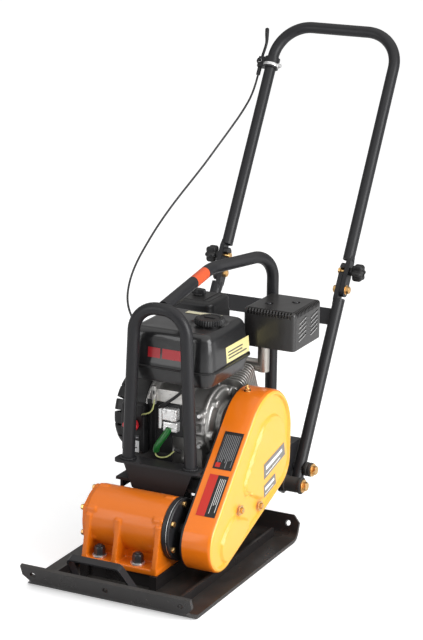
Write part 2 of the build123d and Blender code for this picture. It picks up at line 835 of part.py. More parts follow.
# ---------------------------------------------------------------- handle
tongue_thick = 10.5
gap = 0.5
fold_y = pivot_y + fold_at * sin(radians(handle_lean))
fold_z = pivot_z + fold_at * cos(radians(handle_lean))
inner_x = handle_half - gap - tongue_thick
with BuildPart() as lower_handle:
    with BuildLine(leg_plane) as leg_line:
        Line((handle_half, -46), (handle_half, tongue_low))
    with BuildSketch(Plane(origin=leg_line.line @ 0, z_dir=leg_line.line % 0)):
        Circle(tube_r)
        Circle(tube_r - tube_wall, mode=Mode.SUBTRACT)
    sweep(path=leg_line.line)
    with BuildSketch(leg_side(handle_half - tube_r + 1)):
        Circle(11)
    extrude(amount=2 * tube_r - 2)
    with BuildSketch(leg_side(inner_x)):
        with Locations(((tongue_low - 12 + tongue_high) / 2, 0)):
            SlotOverall(tongue_high - tongue_low + 12, 26)
        with Locations((tongue_low - 8, 0)):
            Rectangle(16, 20)
        with Locations((fold_at, 0)):
            Circle(5, mode=Mode.SUBTRACT)
        with Locations((knob_at - 1, 0)):
            Circle(6, mode=Mode.SUBTRACT)
        with Locations((knob_at - 1, 8)):
            Rectangle(12, 16, mode=Mode.SUBTRACT)
    extrude(amount=tongue_thick)
    with BuildSketch(side(0)):
        with Locations((pivot_y, pivot_z)):
            Circle(bolt_r + running)
    extrude(amount=200, mode=Mode.SUBTRACT)
    mirror(about=Plane.YZ)
    with BuildSketch(leg_plane.offset(-3)):
        with Locations((0, crossbar_at)):
            Rectangle(2 * (handle_half - tube_r + 1), 38)
    extrude(amount=6)
save(lower_handle, "lower_handle")

upper_start = 495
corner_r = 84
with BuildPart() as upper_handle:
    with BuildLine(leg_plane) as hand_line:
        FilletPolyline((-handle_half, upper_start), (-handle_half, top_bar_at), (handle_half, top_bar_at),
                       (handle_half, upper_start), radius=corner_r)
    with BuildSketch(Plane(origin=hand_line.line @ 0, z_dir=hand_line.line % 0)):
        Circle(tube_r)
        Circle(tube_r - tube_wall, mode=Mode.SUBTRACT)
    sweep(path=hand_line.line)
    for s in (-1, 1):
        with BuildSketch(leg_side(s * (handle_half + gap + (0 if s > 0 else tongue_thick)))):
            with Locations(((407 + upper_start + 8) / 2, 0)):
                SlotOverall(upper_start + 8 - 407, 26)
            with Locations((upper_start + 4, 0)):
                Rectangle(10, 20)
            with Locations((fold_at, 0)):
                Circle(5 + running, mode=Mode.SUBTRACT)
            with Locations((knob_at, 0)):
                Circle(4 + running, mode=Mode.SUBTRACT)
        extrude(amount=tongue_thick)
save(upper_handle, "upper_handle")

outer_face = handle_half + gap + tongue_thick
with BuildPart() as fold_bolts:
    with BuildSketch(leg_side(inner_x - 9)):
        with Locations((fold_at, 0)):
            Circle(5)
    extrude(amount=outer_face + 2 - inner_x + 9)
    with BuildSketch(leg_side(outer_face + 0.5)):
        with Locations((fold_at, 0)):
            RegularPolygon(9, 6)
    extrude(amount=8)
    with BuildSketch(leg_side(inner_x - 9)):
        with Locations((fold_at, 0)):
            RegularPolygon(9, 6)
    extrude(amount=9)
    mirror(about=Plane.YZ)
save(fold_bolts, "fold_bolts")

# a bolt through both tongues, and a star knob that turns on its end
knob_bolt_r, knob_bore = 4, 14
knob_face = outer_face + 0.5
with BuildPart() as knob_bolts:
    with BuildSketch(leg_side(inner_x - 6)):
        with Locations((knob_at, 0)):
            Circle(knob_bolt_r)
    extrude(amount=knob_face + knob_bore - 1 - inner_x + 6)
    with BuildSketch(leg_side(inner_x - 6)):
        with Locations((knob_at, 0)):
            Circle(7)
    extrude(amount=5.5)
    mirror(about=Plane.YZ)
save(knob_bolts, "knob_bolts")

for s, label in ((-1, "clamp_knob_left"), (1, "clamp_knob_right")):
    with BuildPart() as clamp_knob:
        with BuildSketch(leg_side(s * knob_face)):
            with Locations((knob_at, 0)):
                Circle(9)
        extrude(amount=s * 10)
        with BuildSketch(leg_side(s * (knob_face + 10))):
            with Locations((knob_at, 0)):
                Circle(16)
                with PolarLocations(15, 6):
                    Circle(6)
        extrude(amount=s * 22)
        with BuildSketch(leg_side(s * knob_face)):
            with Locations((knob_at, 0)):
                Circle(knob_bolt_r + running)
        extrude(amount=s * knob_bore, mode=Mode.SUBTRACT)
    save(clamp_knob, label)

# throttle control on the left grip
lever_x_out = -184
cable_exit_below = 34     # along the leg, from the lever's pin to the end of the clamp's nose
with BuildPart() as throttle_clamp:
    with BuildSketch(Plane(origin=leg_plane.from_local_coords((-handle_half, throttle_at - 15, 0)),
                           x_dir=(1, 0, 0), z_dir=leg_plane.y_dir)):
        Circle(tube_r + 5)
        with Locations((-20, 0)):
            Rectangle(26, 16)
        Circle(tube_r, mode=Mode.SUBTRACT)
    extrude(amount=26)
    with BuildSketch(leg_plane.offset(-8)):
        with Locations((lever_x_out, throttle_at)):
            Circle(9)
    extrude(amount=16)
    with BuildSketch(leg_plane.offset(8)):
        with Locations((lever_x_out, throttle_at)):
            Circle(4)
    extrude(amount=8)
    with BuildSketch(Plane(origin=leg_plane.from_local_coords((lever_x_out, throttle_at - 10, 0)),
                           z_dir=-leg_plane.y_dir)):
        Circle(5)
    extrude(amount=cable_exit_below - 10)
save(throttle_clamp, "throttle_clamp")

with BuildPart() as throttle_lever:
    with BuildSketch(leg_plane.offset(8.3)):
        with Locations((lever_x_out, throttle_at)):
            Circle(10)
        with BuildLine():
            Polyline((lever_x_out - 8, throttle_at), (lever_x_out - 6, throttle_at + 88),
                     (lever_x_out + 4, throttle_at + 88), (lever_x_out + 8, throttle_at), close=True)
        make_face()
        with Locations((lever_x_out, throttle_at)):
            Circle(4 + running, mode=Mode.SUBTRACT)
    extrude(amount=5)
save(throttle_lever, "throttle_lever")

# ---------------------------------------------------------------- throttle cable
# It hangs free from the throttle control to the bracket beside the carburettor. Its route is in two
# lengths that meet where the cable is level with the fold of the handle.
cable_r = 2.5
first_run = 44            # straight out of the clamp's nose
leg_y = sin(radians(handle_lean))
leg_z = cos(radians(handle_lean))
exit_y = pivot_y + (throttle_at - cable_exit_below) * leg_y
exit_z = pivot_z + (throttle_at - cable_exit_below) * leg_z
cable_join = (-291, 523, 617.5)
upper_route = [(lever_x_out, exit_y, exit_z),
               (lever_x_out, exit_y - first_run * leg_y, exit_z - first_run * leg_z),
               (-200, 769, 849), (-220, 742, 808), (-238, 708, 768), (-253, 670, 730), (-267, 630, 696), (-279, 588, 664), (-288, 545, 633),
               cable_join]
lower_route = [cable_join, (-294, 501, 602), (-298, 457, 569), (-298, 412, 538), (-292, 369, 505),
               (-278, 332, 470), (-248, 303, 438), (-205, 287, 413), (-154, 281, 397), (-104, 281, 397)]


def arc_radii(route):
    """The largest radius that each corner's two runs leave room for."""
    points = [Vector(*p) for p in route]
    radii = []
    for before, here, after in zip(points, points[1:], points[2:]):
        half_turn = radians((here - before).get_angle(after - here)) / 2
        radii.append(0.45 * min((here - before).length, (after - here).length) / tan(half_turn))
    return radii


for label, route in (("throttle_cable_upper", upper_route), ("throttle_cable_lower", lower_route)):
    radii = arc_radii(route)
    print(label, "radii", [round(r) for r in radii])
    with BuildPart() as throttle_cable:
        with BuildLine() as cable_line:
            FilletPolyline(*route, radius=radii)
        with BuildSketch(Plane(origin=cable_line.line @ 0, z_dir=cable_line.line % 0)):
            Circle(cable_r)
        sweep(path=cable_line.line)
    length = sum(edge.length for edge in cable_line.edges())
    print(label, "length", round(length), "volume over section times length",
          round(throttle_cable.part.volume / (length * pi * cable_r**2), 3))
    save(throttle_cable, label)
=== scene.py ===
"""Looks of a forward plate compactor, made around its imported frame.

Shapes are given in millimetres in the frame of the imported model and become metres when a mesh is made.
"""
import math

import bmesh
import bpy
import numpy as np
from bpy.props import FloatProperty, FloatVectorProperty, IntProperty, PointerProperty
from mathutils import Matrix, Vector


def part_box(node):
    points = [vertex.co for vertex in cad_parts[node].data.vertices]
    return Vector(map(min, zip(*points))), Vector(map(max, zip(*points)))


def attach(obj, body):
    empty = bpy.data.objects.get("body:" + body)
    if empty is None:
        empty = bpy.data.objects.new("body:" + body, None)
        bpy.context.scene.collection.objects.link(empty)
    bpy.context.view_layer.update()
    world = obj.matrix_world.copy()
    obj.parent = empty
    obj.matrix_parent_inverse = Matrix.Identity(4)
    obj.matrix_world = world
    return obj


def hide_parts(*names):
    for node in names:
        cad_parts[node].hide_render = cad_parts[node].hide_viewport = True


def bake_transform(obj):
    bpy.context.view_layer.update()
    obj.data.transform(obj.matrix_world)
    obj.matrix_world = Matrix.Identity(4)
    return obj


bl_info = {
    "name": "Plate compactor",
    "version": (1, 0, 0),
    "blender": (4, 5, 0),
    "location": "View3D > Sidebar > Compactor",
    "description": "Castings, pressings, cables and finishes of a forward plate compactor",
    "category": "Object",
}

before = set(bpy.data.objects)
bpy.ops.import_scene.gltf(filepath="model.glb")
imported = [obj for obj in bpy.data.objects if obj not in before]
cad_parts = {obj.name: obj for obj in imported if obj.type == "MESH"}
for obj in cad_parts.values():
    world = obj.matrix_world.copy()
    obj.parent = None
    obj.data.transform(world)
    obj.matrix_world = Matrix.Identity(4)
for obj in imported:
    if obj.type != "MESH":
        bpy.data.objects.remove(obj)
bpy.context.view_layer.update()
MM = 0.001
TAU = 2 * math.pi


# ---------------------------------------------------------------- settings
class CompactorColours(bpy.types.PropertyGroup):
    """Base colours of the finishes."""

    black: FloatVectorProperty(name="Black paint", description="Powder coat of the frame and handle",
                               subtype="COLOR", default=(0.017, 0.017, 0.019))
    orange: FloatVectorProperty(name="Orange paint", description="Exciter and the wall of the belt guard",
                                subtype="COLOR", default=(0.84, 0.185, 0.003))
    yellow: FloatVectorProperty(name="Yellow paint", description="Outer face of the belt guard",
                                subtype="COLOR", default=(0.90, 0.46, 0.055))
    tank: FloatVectorProperty(name="Tank paint", description="Gloss paint of the fuel tank",
                              subtype="COLOR", default=(0.013, 0.013, 0.014))
    red: FloatVectorProperty(name="Red plastic", description="Engine switch",
                             subtype="COLOR", default=(0.62, 0.02, 0.03))
    zinc: FloatVectorProperty(name="Yellow zinc", description="Plated bolts of the handle and the guard",
                              subtype="COLOR", default=(0.80, 0.50, 0.20))


class CompactorSizes(bpy.types.PropertyGroup):
    """Sizes that are not already in the frame."""

    cable_width: FloatProperty(name="Cable", description="Outer diameter of the throttle cable",
                               default=0.005, min=0.003, max=0.01, unit="LENGTH")
    fin_count: IntProperty(name="Fins", description="Cooling fins round the cylinder", default=9, min=3,
                           max=16)
    recoil_slots: IntProperty(name="Recoil slots", description="Air slots round the recoil cover",
                              default=18, min=6, max=30)


class CompactorStage(bpy.types.PropertyGroup):
    """Where the camera stands, and the light."""

    azimuth: FloatProperty(name="Azimuth", description="Turn of the camera to the right of the front",
                           subtype="ANGLE", default=math.radians(26.55))
    elevation: FloatProperty(name="Elevation", description="Height of the camera over level",
                             subtype="ANGLE", default=math.radians(15.95))
    roll: FloatProperty(name="Roll", description="Tilt of the camera", subtype="ANGLE",
                        default=math.radians(0.66))
    distance: FloatProperty(name="Distance", description="From the camera to the point that it looks at",
                            default=4.5329, unit="LENGTH")
    target: FloatVectorProperty(name="Target", description="The point that the camera looks at",
                                subtype="TRANSLATION", default=(0.10605, 0.0, 0.56117))
    lens: FloatProperty(name="Lens", description="Focal length on a 36 mm sensor, in millimetres",
                        default=122.78)
    key_power: FloatProperty(name="Key light", description="Power of the light on the guard's side, in watts",
                             default=118.0)
    fill_power: FloatProperty(name="Fill light", description="Power of the light on the front, in watts",
                              default=34.0)
    sky: FloatProperty(name="Surround", description="Strength of the white surround", default=0.34)
    backdrop: FloatProperty(name="Backdrop", description="How much the floor is lifted towards white",
                            default=0.42)
    overhead: FloatProperty(name="Overhead", description="Strength of the wide soft light from above",
                            default=1.25)


# ---------------------------------------------------------------- surfaces
def cut(values):
    """Numbers as one array of floats."""
    return np.asarray(values, float)


def unit(v):
    """Vectors of length one in the direction of v, along its last axis."""
    v = cut(v)
    return v / np.linalg.norm(v, axis=-1, keepdims=True)


def smooth(low, high, x):
    """0 below low, 1 above high, and 3t^2 - 2t^3 of the share t between them."""
    t = np.clip((x - low) / (high - low), 0, 1)
    return t * t * (3 - 2 * t)


def place(origin, z_dir, x_dir=(1, 0, 0)):
    """A frame as (origin, rows x, y, z): z along z_dir, x as near to x_dir as it can be, y = z cross x."""
    z = unit(z_dir)
    x = unit(cut(x_dir) - z * np.dot(x_dir, z))
    return cut(origin), np.stack([x, np.cross(z, x), z])


def put(points, where):
    """Points of a local frame in the model's frame: origin + x * X + y * Y + z * Z."""
    origin, axes = where
    return origin + points @ axes


def rounded(half_x, half_y, corner, steps=8, spans=2):
    """Outline of a rounded rectangle: corner centres, radius and angle, with the centres sliding
    along each straight side in equal steps while the angle stays."""
    centres, angles = [], []
    signs = [(1, 1), (-1, 1), (-1, -1), (1, -1)]
    inner = cut([half_x - corner, half_y - corner])
    for k, s in enumerate(signs):
        here, after = inner * s, inner * signs[(k + 1) % 4]
        turn = np.linspace(0, math.pi / 2, steps) + k * math.pi / 2
        slide = np.linspace(0, 1, spans + 1)[1:-1, None]
        centres += [np.tile(here, (steps, 1)), here + (after - here) * slide]
        angles += [turn, np.full(len(slide), turn[-1])]
    angles = np.concatenate(angles)
    return np.concatenate(centres), np.full(len(angles), float(corner)), angles


def hull(circles, steps=22, spans=8):
    """Outline round circles given anticlockwise as (x, y, radius): arcs joined by common tangents.
    The tangent from circle i to circle j has its normal at angle(j - i) - acos((ri - rj) / distance)."""
    circles = cut(circles)
    ahead = np.roll(circles, -1, axis=0) - circles
    leave = (np.arctan2(ahead[:, 1], ahead[:, 0])
             - np.arccos(-ahead[:, 2] / np.hypot(ahead[:, 0], ahead[:, 1])))
    centres, radii, angles = [], [], []
    for k in range(len(circles)):
        start, end = leave[k - 1], leave[k]
        end = start + (end - start) % TAU
        after = circles[(k + 1) % len(circles)]
        slide = np.linspace(0, 1, spans + 1)[1:-1, None]
        arc = np.concatenate([np.tile(circles[k], (steps, 1)), circles[k] + (after - circles[k]) * slide])
        centres.append(arc[:, :2])
        radii.append(arc[:, 2])
        angles.append(np.concatenate([np.linspace(start, end, steps), np.full(len(slide), end)]))
    return np.concatenate(centres), np.concatenate(radii), np.concatenate(angles)


def disc(radius, count=48):
    """Outline of a circle; radius may be a function of the angle."""
    angles = np.arange(count) * TAU / count
    radii = radius(angles) if callable(radius) else np.full(count, float(radius))
    return np.zeros((count, 2)), radii, angles


def hexagon(across_flats, count=48):
    """Outline of a hexagon: half the width over the cosine of the angle from the nearest flat."""
    return disc(lambda a: across_flats / 2 / np.cos((a + math.pi / 6) % (math.pi / 3) - math.pi / 6), count)


def ring(outline, inset=0.0, limit=None):
    """Points of an outline, moved inwards by inset, and no further than limit from the middle."""
    centres, radii, angles = outline
    points = centres + np.maximum(radii - inset, 0)[:, None] * np.stack([np.cos(angles), np.sin(angles)], -1)
    if limit is not None:
        far = np.linalg.norm(points, axis=1, keepdims=True)
        points = points * np.minimum(1, limit / np.maximum(far, 1e-9))
    return points


def grid_faces(rows, columns):
    """Quads of a grid of points, closed in its second direction."""
    i, j = np.meshgrid(np.arange(rows - 1), np.arange(columns), indexing="ij")
    k = (j + 1) % columns
    return np.stack([i * columns + j, i * columns + k, (i + 1) * columns + k, (i + 1) * columns + j],
                    -1).reshape(-1, 4)


def skin(rings):
    """A closed surface through rings of equal count, each end closed by a fan to its mean point."""
    rings = cut(rings)
    rows, columns = rings.shape[:2]
    points = np.concatenate([rings.reshape(-1, 3), rings[:1].mean(1), rings[-1:].mean(1)])
    low, high = len(points) - 2, len(points) - 1
    last = (rows - 1) * columns
    j = np.arange(columns)
    k = (j + 1) % columns
    return points, (grid_faces(rows, columns).tolist()
                    + np.stack([np.full(columns, low), k, j], -1).tolist()
                    + np.stack([np.full(columns, high), last + j, last + k], -1).tolist())


def slab(outline, levels, where):
    """A solid of rings: each level is (inset, height) or (inset, height, limit)."""
    rings = []
    for inset, height, *limit in levels:
        flat = ring(outline, inset, *limit)
        rings.append(np.column_stack([flat, np.full(len(flat), float(height))]))
    return skin(put(cut(rings), where))


def edge(radius, inset, height, steps=5):
    """Levels of a quarter-round edge that ends at height: inset grows by radius over a quarter turn."""
    turn = np.linspace(0, math.pi / 2, steps)
    return [(inset + radius * (1 - math.cos(a)), height - radius * (1 - math.sin(a))) for a in turn]


def block(outline, low, high, where, soft=1.0, steps=4):
    """A plain solid from low to high with both rims rounded to the radius soft."""
    top = edge(soft, 0, high, steps)
    bottom = [(inset, low + high - height) for inset, height in reversed(top)]
    return slab(outline, bottom + top, where)


def box(low, high, corner=2.0, soft=1.0):
    """A block between two corners, upright, with rounded corners and rims."""
    low, high = cut(low), cut(high)
    middle, half = (low + high) / 2, (high - low) / 2
    corner = min(corner, half[0], half[1])
    return block(rounded(half[0], half[1], corner, 5), 0, high[2] - low[2],
                 place((middle[0], middle[1], low[2]), (0, 0, 1)), soft)


def rod(start, end, radius, soft=0.6, count=32):
    """A round bar between two points, its rims rounded."""
    start, end = cut(start), cut(end)
    length = float(np.linalg.norm(end - start))
    side_on = (0, 0, 1) if abs(unit(end - start)[2]) < 0.9 else (1, 0, 0)
    return block(disc(radius, count), 0, length, place(start, end - start, side_on), min(soft, radius / 2))


def hex_head(where, across, high, washer=0.0, washer_high=2.0):
    """A bolt's head: a hexagon whose top corners are cut by a cone, over a round washer."""
    shells = []
    base = 0.0
    if washer:
        shells.append(block(disc(washer, 40), 0, washer_high, where, 0.4))
        base = washer_high
    corner = across / 2 / math.cos(math.pi / 6)
    cone = [(0, base), (0, base + high * 0.72, corner), (0, base + high * 0.88, corner * 0.96),
            (0, base + high, corner * 0.86), (across * 0.12, base + high, corner * 0.8)]
    shells.append(slab(hexagon(across, 36), cone, where))
    return shells


def tube(path, radius, sides=16, reference=(1, 0, 0)):
    """A round tube along a path: at each point a circle in the plane across the path's direction.
    The radius may change along the path."""
    path = cut(path)
    along = unit(np.gradient(path, axis=0))
    across = unit(np.cross(along, cut(reference)))
    third = np.cross(along, across)
    angles = np.arange(sides) * TAU / sides
    radius = np.broadcast_to(cut(radius), len(path))[:, None, None]
    rings = path[:, None] + radius * (across[:, None] * np.cos(angles)[None, :, None]
                                      + third[:, None] * np.sin(angles)[None, :, None])
    return skin(rings)


def bow(points):
    """Points of the smooth line that has these points as its control points, all in metres."""
    curve = bpy.data.curves.new("line", "CURVE")
    curve.dimensions = "3D"
    spline = curve.splines.new("NURBS")
    spline.points.add(len(points) - 1)
    spline.points.foreach_set("co", np.column_stack([cut(points), np.ones(len(points))]).ravel())
    spline.order_u = 3
    spline.use_endpoint_u = True
    spline.resolution_u = 14
    holder = bpy.data.objects.new("line", curve)
    bpy.context.scene.collection.objects.link(holder)
    mesh = bpy.data.meshes.new_from_object(holder.evaluated_get(bpy.context.evaluated_depsgraph_get()))
    line = np.zeros(len(mesh.vertices) * 3)
    mesh.vertices.foreach_get("co", line)
    bpy.data.objects.remove(holder)
    bpy.data.meshes.remove(mesh)
    return line.reshape(-1, 3)


def mesh_of(name, shells):
    """One mesh, in metres, from shells of (points, faces) or (points, faces, material number)."""
    points, faces, numbers, start = [], [], [], 0
    for shell in shells:
        own, own_faces, *number = shell
        points.append(own)
        faces += [[k + start for k in face] for face in own_faces]
        number = number[0] if number else 0
        numbers += number if isinstance(number, list) else [number] * len(own_faces)
        start += len(own)
    mesh = bpy.data.meshes.new(name)
    mesh.from_pydata((np.concatenate(points) * MM).tolist(), [], faces)
    mesh.polygons.foreach_set("material_index", numbers)
    work = bmesh.new()
    work.from_mesh(mesh)
    bmesh.ops.dissolve_degenerate(work, dist=1e-7, edges=work.edges)
    bmesh.ops.recalc_face_normals(work, faces=work.faces)
    work.to_mesh(mesh)
    work.free()
    return mesh


def piece(name, shells, finishes, body="frame", stands_for=(), sharp=34.0):
    """A piece of the object: its mesh, its finishes, the body that it rides on and the nodes it replaces."""
    mesh = shells if isinstance(shells, bpy.types.Mesh) else mesh_of(name, shells)
    made = bpy.data.objects.new(name, mesh)
    bpy.context.scene.collection.objects.link(made)
    for finish in finishes if isinstance(finishes, (list, tuple)) else [finishes]:
        mesh.materials.append(finish)
    mesh.shade_smooth()
    mesh.set_sharp_from_angle(angle=math.radians(sharp))
    if body:
        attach(made, body)
    if stands_for:
        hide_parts(*stands_for)
    return made


def cast(name, shells, voxel=2.0, passes=6):
    """The mesh of a casting: overlapping closed shells run together on a fine lattice, then relaxed,
    so that every inside corner has a fillet and every edge is soft."""
    mesh = mesh_of(name, shells)
    holder = bpy.data.objects.new(name + "_form", mesh)
    bpy.context.scene.collection.objects.link(holder)
    lattice = holder.modifiers.new("one skin", "REMESH")
    lattice.mode = "VOXEL"
    lattice.voxel_size = voxel * MM
    relax = holder.modifiers.new("soft edges", "SMOOTH")
    relax.iterations = passes
    relax.factor = 0.5
    made = bpy.data.meshes.new_from_object(holder.evaluated_get(bpy.context.evaluated_depsgraph_get()))
    bpy.data.objects.remove(holder)
    made.name = name
    return made


def prism(points, where, low, high):
    """A solid with a free outline: the points at low and again at high."""
    flat = cut(points)
    rings = [np.column_stack([flat, np.full(len(flat), h)]) for h in (low, high)]
    return skin(put(cut(rings), where))


def moved(where, x=0.0, y=0.0, z=0.0):
    """A frame moved along its own axes."""
    origin, axes = where
    return origin + axes[0] * x + axes[1] * y + axes[2] * z, axes


def round_of(middle, radius, angles):
    """Points on a circle in the plane across the machine: middle + radius * (cos, sin), as (y, z)."""
    return np.stack([middle[0] + radius * np.cos(angles), middle[1] + radius * np.sin(angles)], -1)


def side_on(x=0.0):
    """The frame that looks along +X: its x, y and z are the machine's Y, Z and X."""
    return cut((x, 0, 0)), cut([[0, 1, 0], [0, 0, 1], [1, 0, 0]])


# ---------------------------------------------------------------- shader groups
def feed(tree, sockets, values):
    """Give sockets their values: a number, a colour, or a link from another node's socket."""
    for key, value in values.items():
        if isinstance(value, bpy.types.NodeSocket):
            tree.links.new(value, sockets[key])
        else:
            sockets[key].default_value = value


def add(tree, kind, inputs=None, **attributes):
    """A node with its attributes and inputs."""
    made = tree.nodes.new(kind)
    for key, value in attributes.items():
        setattr(made, key, value)
    feed(tree, made.inputs, inputs or {})
    return made


def math_node(tree, operation, a, b=0.5):
    """A Math node's result."""
    return add(tree, "ShaderNodeMath", {0: a, 1: b}, operation=operation).outputs[0]


def all_of(tree, *masks):
    """Masks multiplied together."""
    result = masks[0]
    for mask in masks[1:]:
        result = math_node(tree, "MULTIPLY", result, mask)
    return result


def remapped(tree, value, before=(0.0, 1.0), after=(0.0, 1.0)):
    """A value brought from between two numbers to between two others."""
    return add(tree, "ShaderNodeMapRange", {"Value": value, "From Min": before[0], "From Max": before[1],
                                            "To Min": after[0], "To Max": after[1]}).outputs[0]


def mixed(tree, factor, a, b):
    """Two colours mixed; a colour Mix node takes them on its seventh and eighth sockets."""
    return add(tree, "ShaderNodeMix", {0: factor, 6: a, 7: b}, data_type="RGBA").outputs[2]


def object_place(tree):
    """The Object coordinates of a point."""
    return add(tree, "ShaderNodeTexCoord").outputs["Object"]


def noise(tree, scale, detail, rough=0.5):
    """Noise on the Object coordinates."""
    return add(tree, "ShaderNodeTexNoise", {"Vector": object_place(tree), "Scale": scale, "Detail": detail,
                                            "Roughness": rough}).outputs[0]


def new_group(name, inputs, **outputs):
    """An empty node group with named sockets: a tuple is a colour, anything else a float."""
    tree = bpy.data.node_groups.new(name, "ShaderNodeTree")
    for key, value in inputs.items():
        kind = "NodeSocketColor" if isinstance(value, tuple) else "NodeSocketFloat"
        tree.interface.new_socket(key, in_out="INPUT", socket_type=kind).default_value = value
    for key, kind in outputs.items():
        tree.interface.new_socket(key, in_out="OUTPUT", socket_type="NodeSocket" + kind)
    return tree, tree.nodes.new("NodeGroupInput").outputs, tree.nodes.new("NodeGroupOutput").inputs


def make_skin_group():
    """Relief of a painted or cast skin: fine noise for the grain, and slow noise for patches of gloss."""
    tree, given, result = new_group("Skin", {"Grain size": 2.0, "Detail": 3.0, "Patch size": 60.0},
                                    Height="Float", Patch="Float")
    fine = math_node(tree, "DIVIDE", 1000.0, given["Grain size"])
    slow = math_node(tree, "DIVIDE", 1000.0, given["Patch size"])
    feed(tree, result, {"Height": noise(tree, fine, given["Detail"], 0.55),
                        "Patch": remapped(tree, noise(tree, slow, 3.0, 0.6), (0.3, 0.7))})
    return tree


def make_wear_group():
    """Where a finish is scratched or chipped: fine noise over a threshold, only inside slow patches."""
    tree, given, result = new_group("Wear", {"Color": (0.5, 0.5, 0.5, 1.0), "Under": (0.3, 0.3, 0.3, 1.0),
                                             "Amount": 0.1, "Size": 6.0}, Color="Color", Mask="Float")
    chips = noise(tree, math_node(tree, "DIVIDE", 1000.0, given["Size"]), 8.0, 0.75)
    slow = math_node(tree, "MULTIPLY", noise(tree, 9.0, 2.0), 0.25)
    level = math_node(tree, "SUBTRACT", math_node(tree, "ADD", chips, slow), 0.125)
    limit = math_node(tree, "SUBTRACT", 0.78, given["Amount"])
    over = remapped(tree, level, (limit, math_node(tree, "ADD", limit, 0.02)))
    feed(tree, result, {"Color": mixed(tree, over, given["Color"], given["Under"]), "Mask": over})
    return tree


DUST = (0.34, 0.31, 0.27, 1.0)


def make_dust_group():
    """Dust that lies on faces turned upwards: the normal's height times patchy noise."""
    tree, given, result = new_group("Dust", {"Color": (0.5, 0.5, 0.5, 1.0), "Amount": 0.2},
                                    Color="Color", Mask="Float")
    normal = add(tree, "ShaderNodeNewGeometry").outputs["Normal"]
    upward = add(tree, "ShaderNodeSeparateXYZ", {0: normal}).outputs[2]
    mask = all_of(tree, remapped(tree, upward, (0.35, 1.0)), noise(tree, 22.0, 6.0, 0.65), given["Amount"])
    feed(tree, result, {"Color": mixed(tree, mask, given["Color"], DUST), "Mask": mask})
    return tree


def make_bars_group():
    """Plain bars of a generic label on a face's own coordinates: rows across V, each with its own length."""
    tree, given, result = new_group("Bars", {"Rows": 5.0, "Fill": 0.5, "Left": 0.1, "Right": 0.9,
                                             "Low": 0.1, "High": 0.9}, Mask="Float")
    u, v, _ = add(tree, "ShaderNodeSeparateXYZ", {0: add(tree, "ShaderNodeUVMap").outputs[0]}).outputs
    rows = math_node(tree, "MULTIPLY", v, given["Rows"])
    row = math_node(tree, "FLOOR", rows)
    own = add(tree, "ShaderNodeTexWhiteNoise", {"W": row}, noise_dimensions="1D").outputs["Value"]
    reach = math_node(tree, "SUBTRACT", given["Right"], math_node(tree, "MULTIPLY", own, 0.25))
    mask = all_of(tree, math_node(tree, "LESS_THAN", math_node(tree, "FRACT", rows), given["Fill"]),
                  math_node(tree, "GREATER_THAN", u, given["Left"]), math_node(tree, "LESS_THAN", u, reach),
                  math_node(tree, "GREATER_THAN", v, given["Low"]),
                  math_node(tree, "LESS_THAN", v, given["High"]))
    feed(tree, result, {"Mask": mask})
    return tree


groups = {}
GROUP_MAKERS = {"Skin": make_skin_group, "Wear": make_wear_group, "Dust": make_dust_group,
                "Bars": make_bars_group}


def use_group(tree, name, inputs):
    """A group node's outputs; the group itself is built once."""
    if name not in groups:
        groups[name] = GROUP_MAKERS[name]()
    made = tree.nodes.new("ShaderNodeGroup")
    made.node_tree = groups[name]
    feed(tree, made.inputs, inputs)
    return made.outputs


# ---------------------------------------------------------------- finishes
def rgba(colour):
    """A colour with full alpha."""
    return (*colour, 1.0)


def new_finish(name):
    """A new material, its tree and its shader's inputs."""
    made = bpy.data.materials.new(name)
    made.use_nodes = True
    return made, made.node_tree, made.node_tree.nodes["Principled BSDF"].inputs


def add_relief(tree, shader, grain, detail, patch_size, rough, spread, strength=1.0):
    """Bump a shader with a skin of grain (size, depth); returns the roughness, which changes in patches."""
    relief = use_group(tree, "Skin", {"Grain size": grain[0], "Detail": detail, "Patch size": patch_size})
    bump = add(tree, "ShaderNodeBump", {"Height": relief["Height"], "Strength": strength,
                                        "Distance": grain[1] * MM})
    feed(tree, shader, {"Normal": bump.outputs[0]})
    return remapped(tree, relief["Patch"], after=(rough - spread, rough + spread))


def coating(name, colour, rough=0.4, metal=0.0, grain=(1.2, 0.05), under=(0.2, 0.2, 0.2), wear=0.0,
            wear_size=6.0, dust=0.15, gloss=0.0, spread=0.08, under_metal=0.0, detail=3.0, band=None,
            shine=0.5):
    """A finish: grain is (size in mm, depth in mm) of its relief; gloss is the clear coat's weight;
    spread is how far the roughness changes in patches; band paints a stripe, as (axis, low, high, colour);
    shine is the specular level."""
    made, tree, shader = new_finish(name)
    base = rgba(colour)
    if band:
        axis, low, high, stripe = band
        along = add(tree, "ShaderNodeSeparateXYZ", {0: object_place(tree)}).outputs[axis]
        mask = all_of(tree, math_node(tree, "GREATER_THAN", along, low * MM),
                      math_node(tree, "LESS_THAN", along, high * MM))
        base = mixed(tree, mask, base, rgba(stripe))
    worn = use_group(tree, "Wear", {"Color": base, "Under": rgba(under), "Amount": wear, "Size": wear_size})
    dusty = use_group(tree, "Dust", {"Color": worn["Color"], "Amount": dust})
    rough_here = add_relief(tree, shader, grain, detail, 70.0, rough, spread)
    lifted = math_node(tree, "ADD", rough_here, math_node(tree, "MULTIPLY", dusty["Mask"], 0.3))
    if under_metal != metal:
        metal = remapped(tree, worn["Mask"], after=(metal, under_metal))
    feed(tree, shader, {"Base Color": dusty["Color"], "Roughness": lifted, "Metallic": metal,
                        "Coat Weight": gloss, "Coat Roughness": 0.12, "Specular IOR Level": shine})
    return made


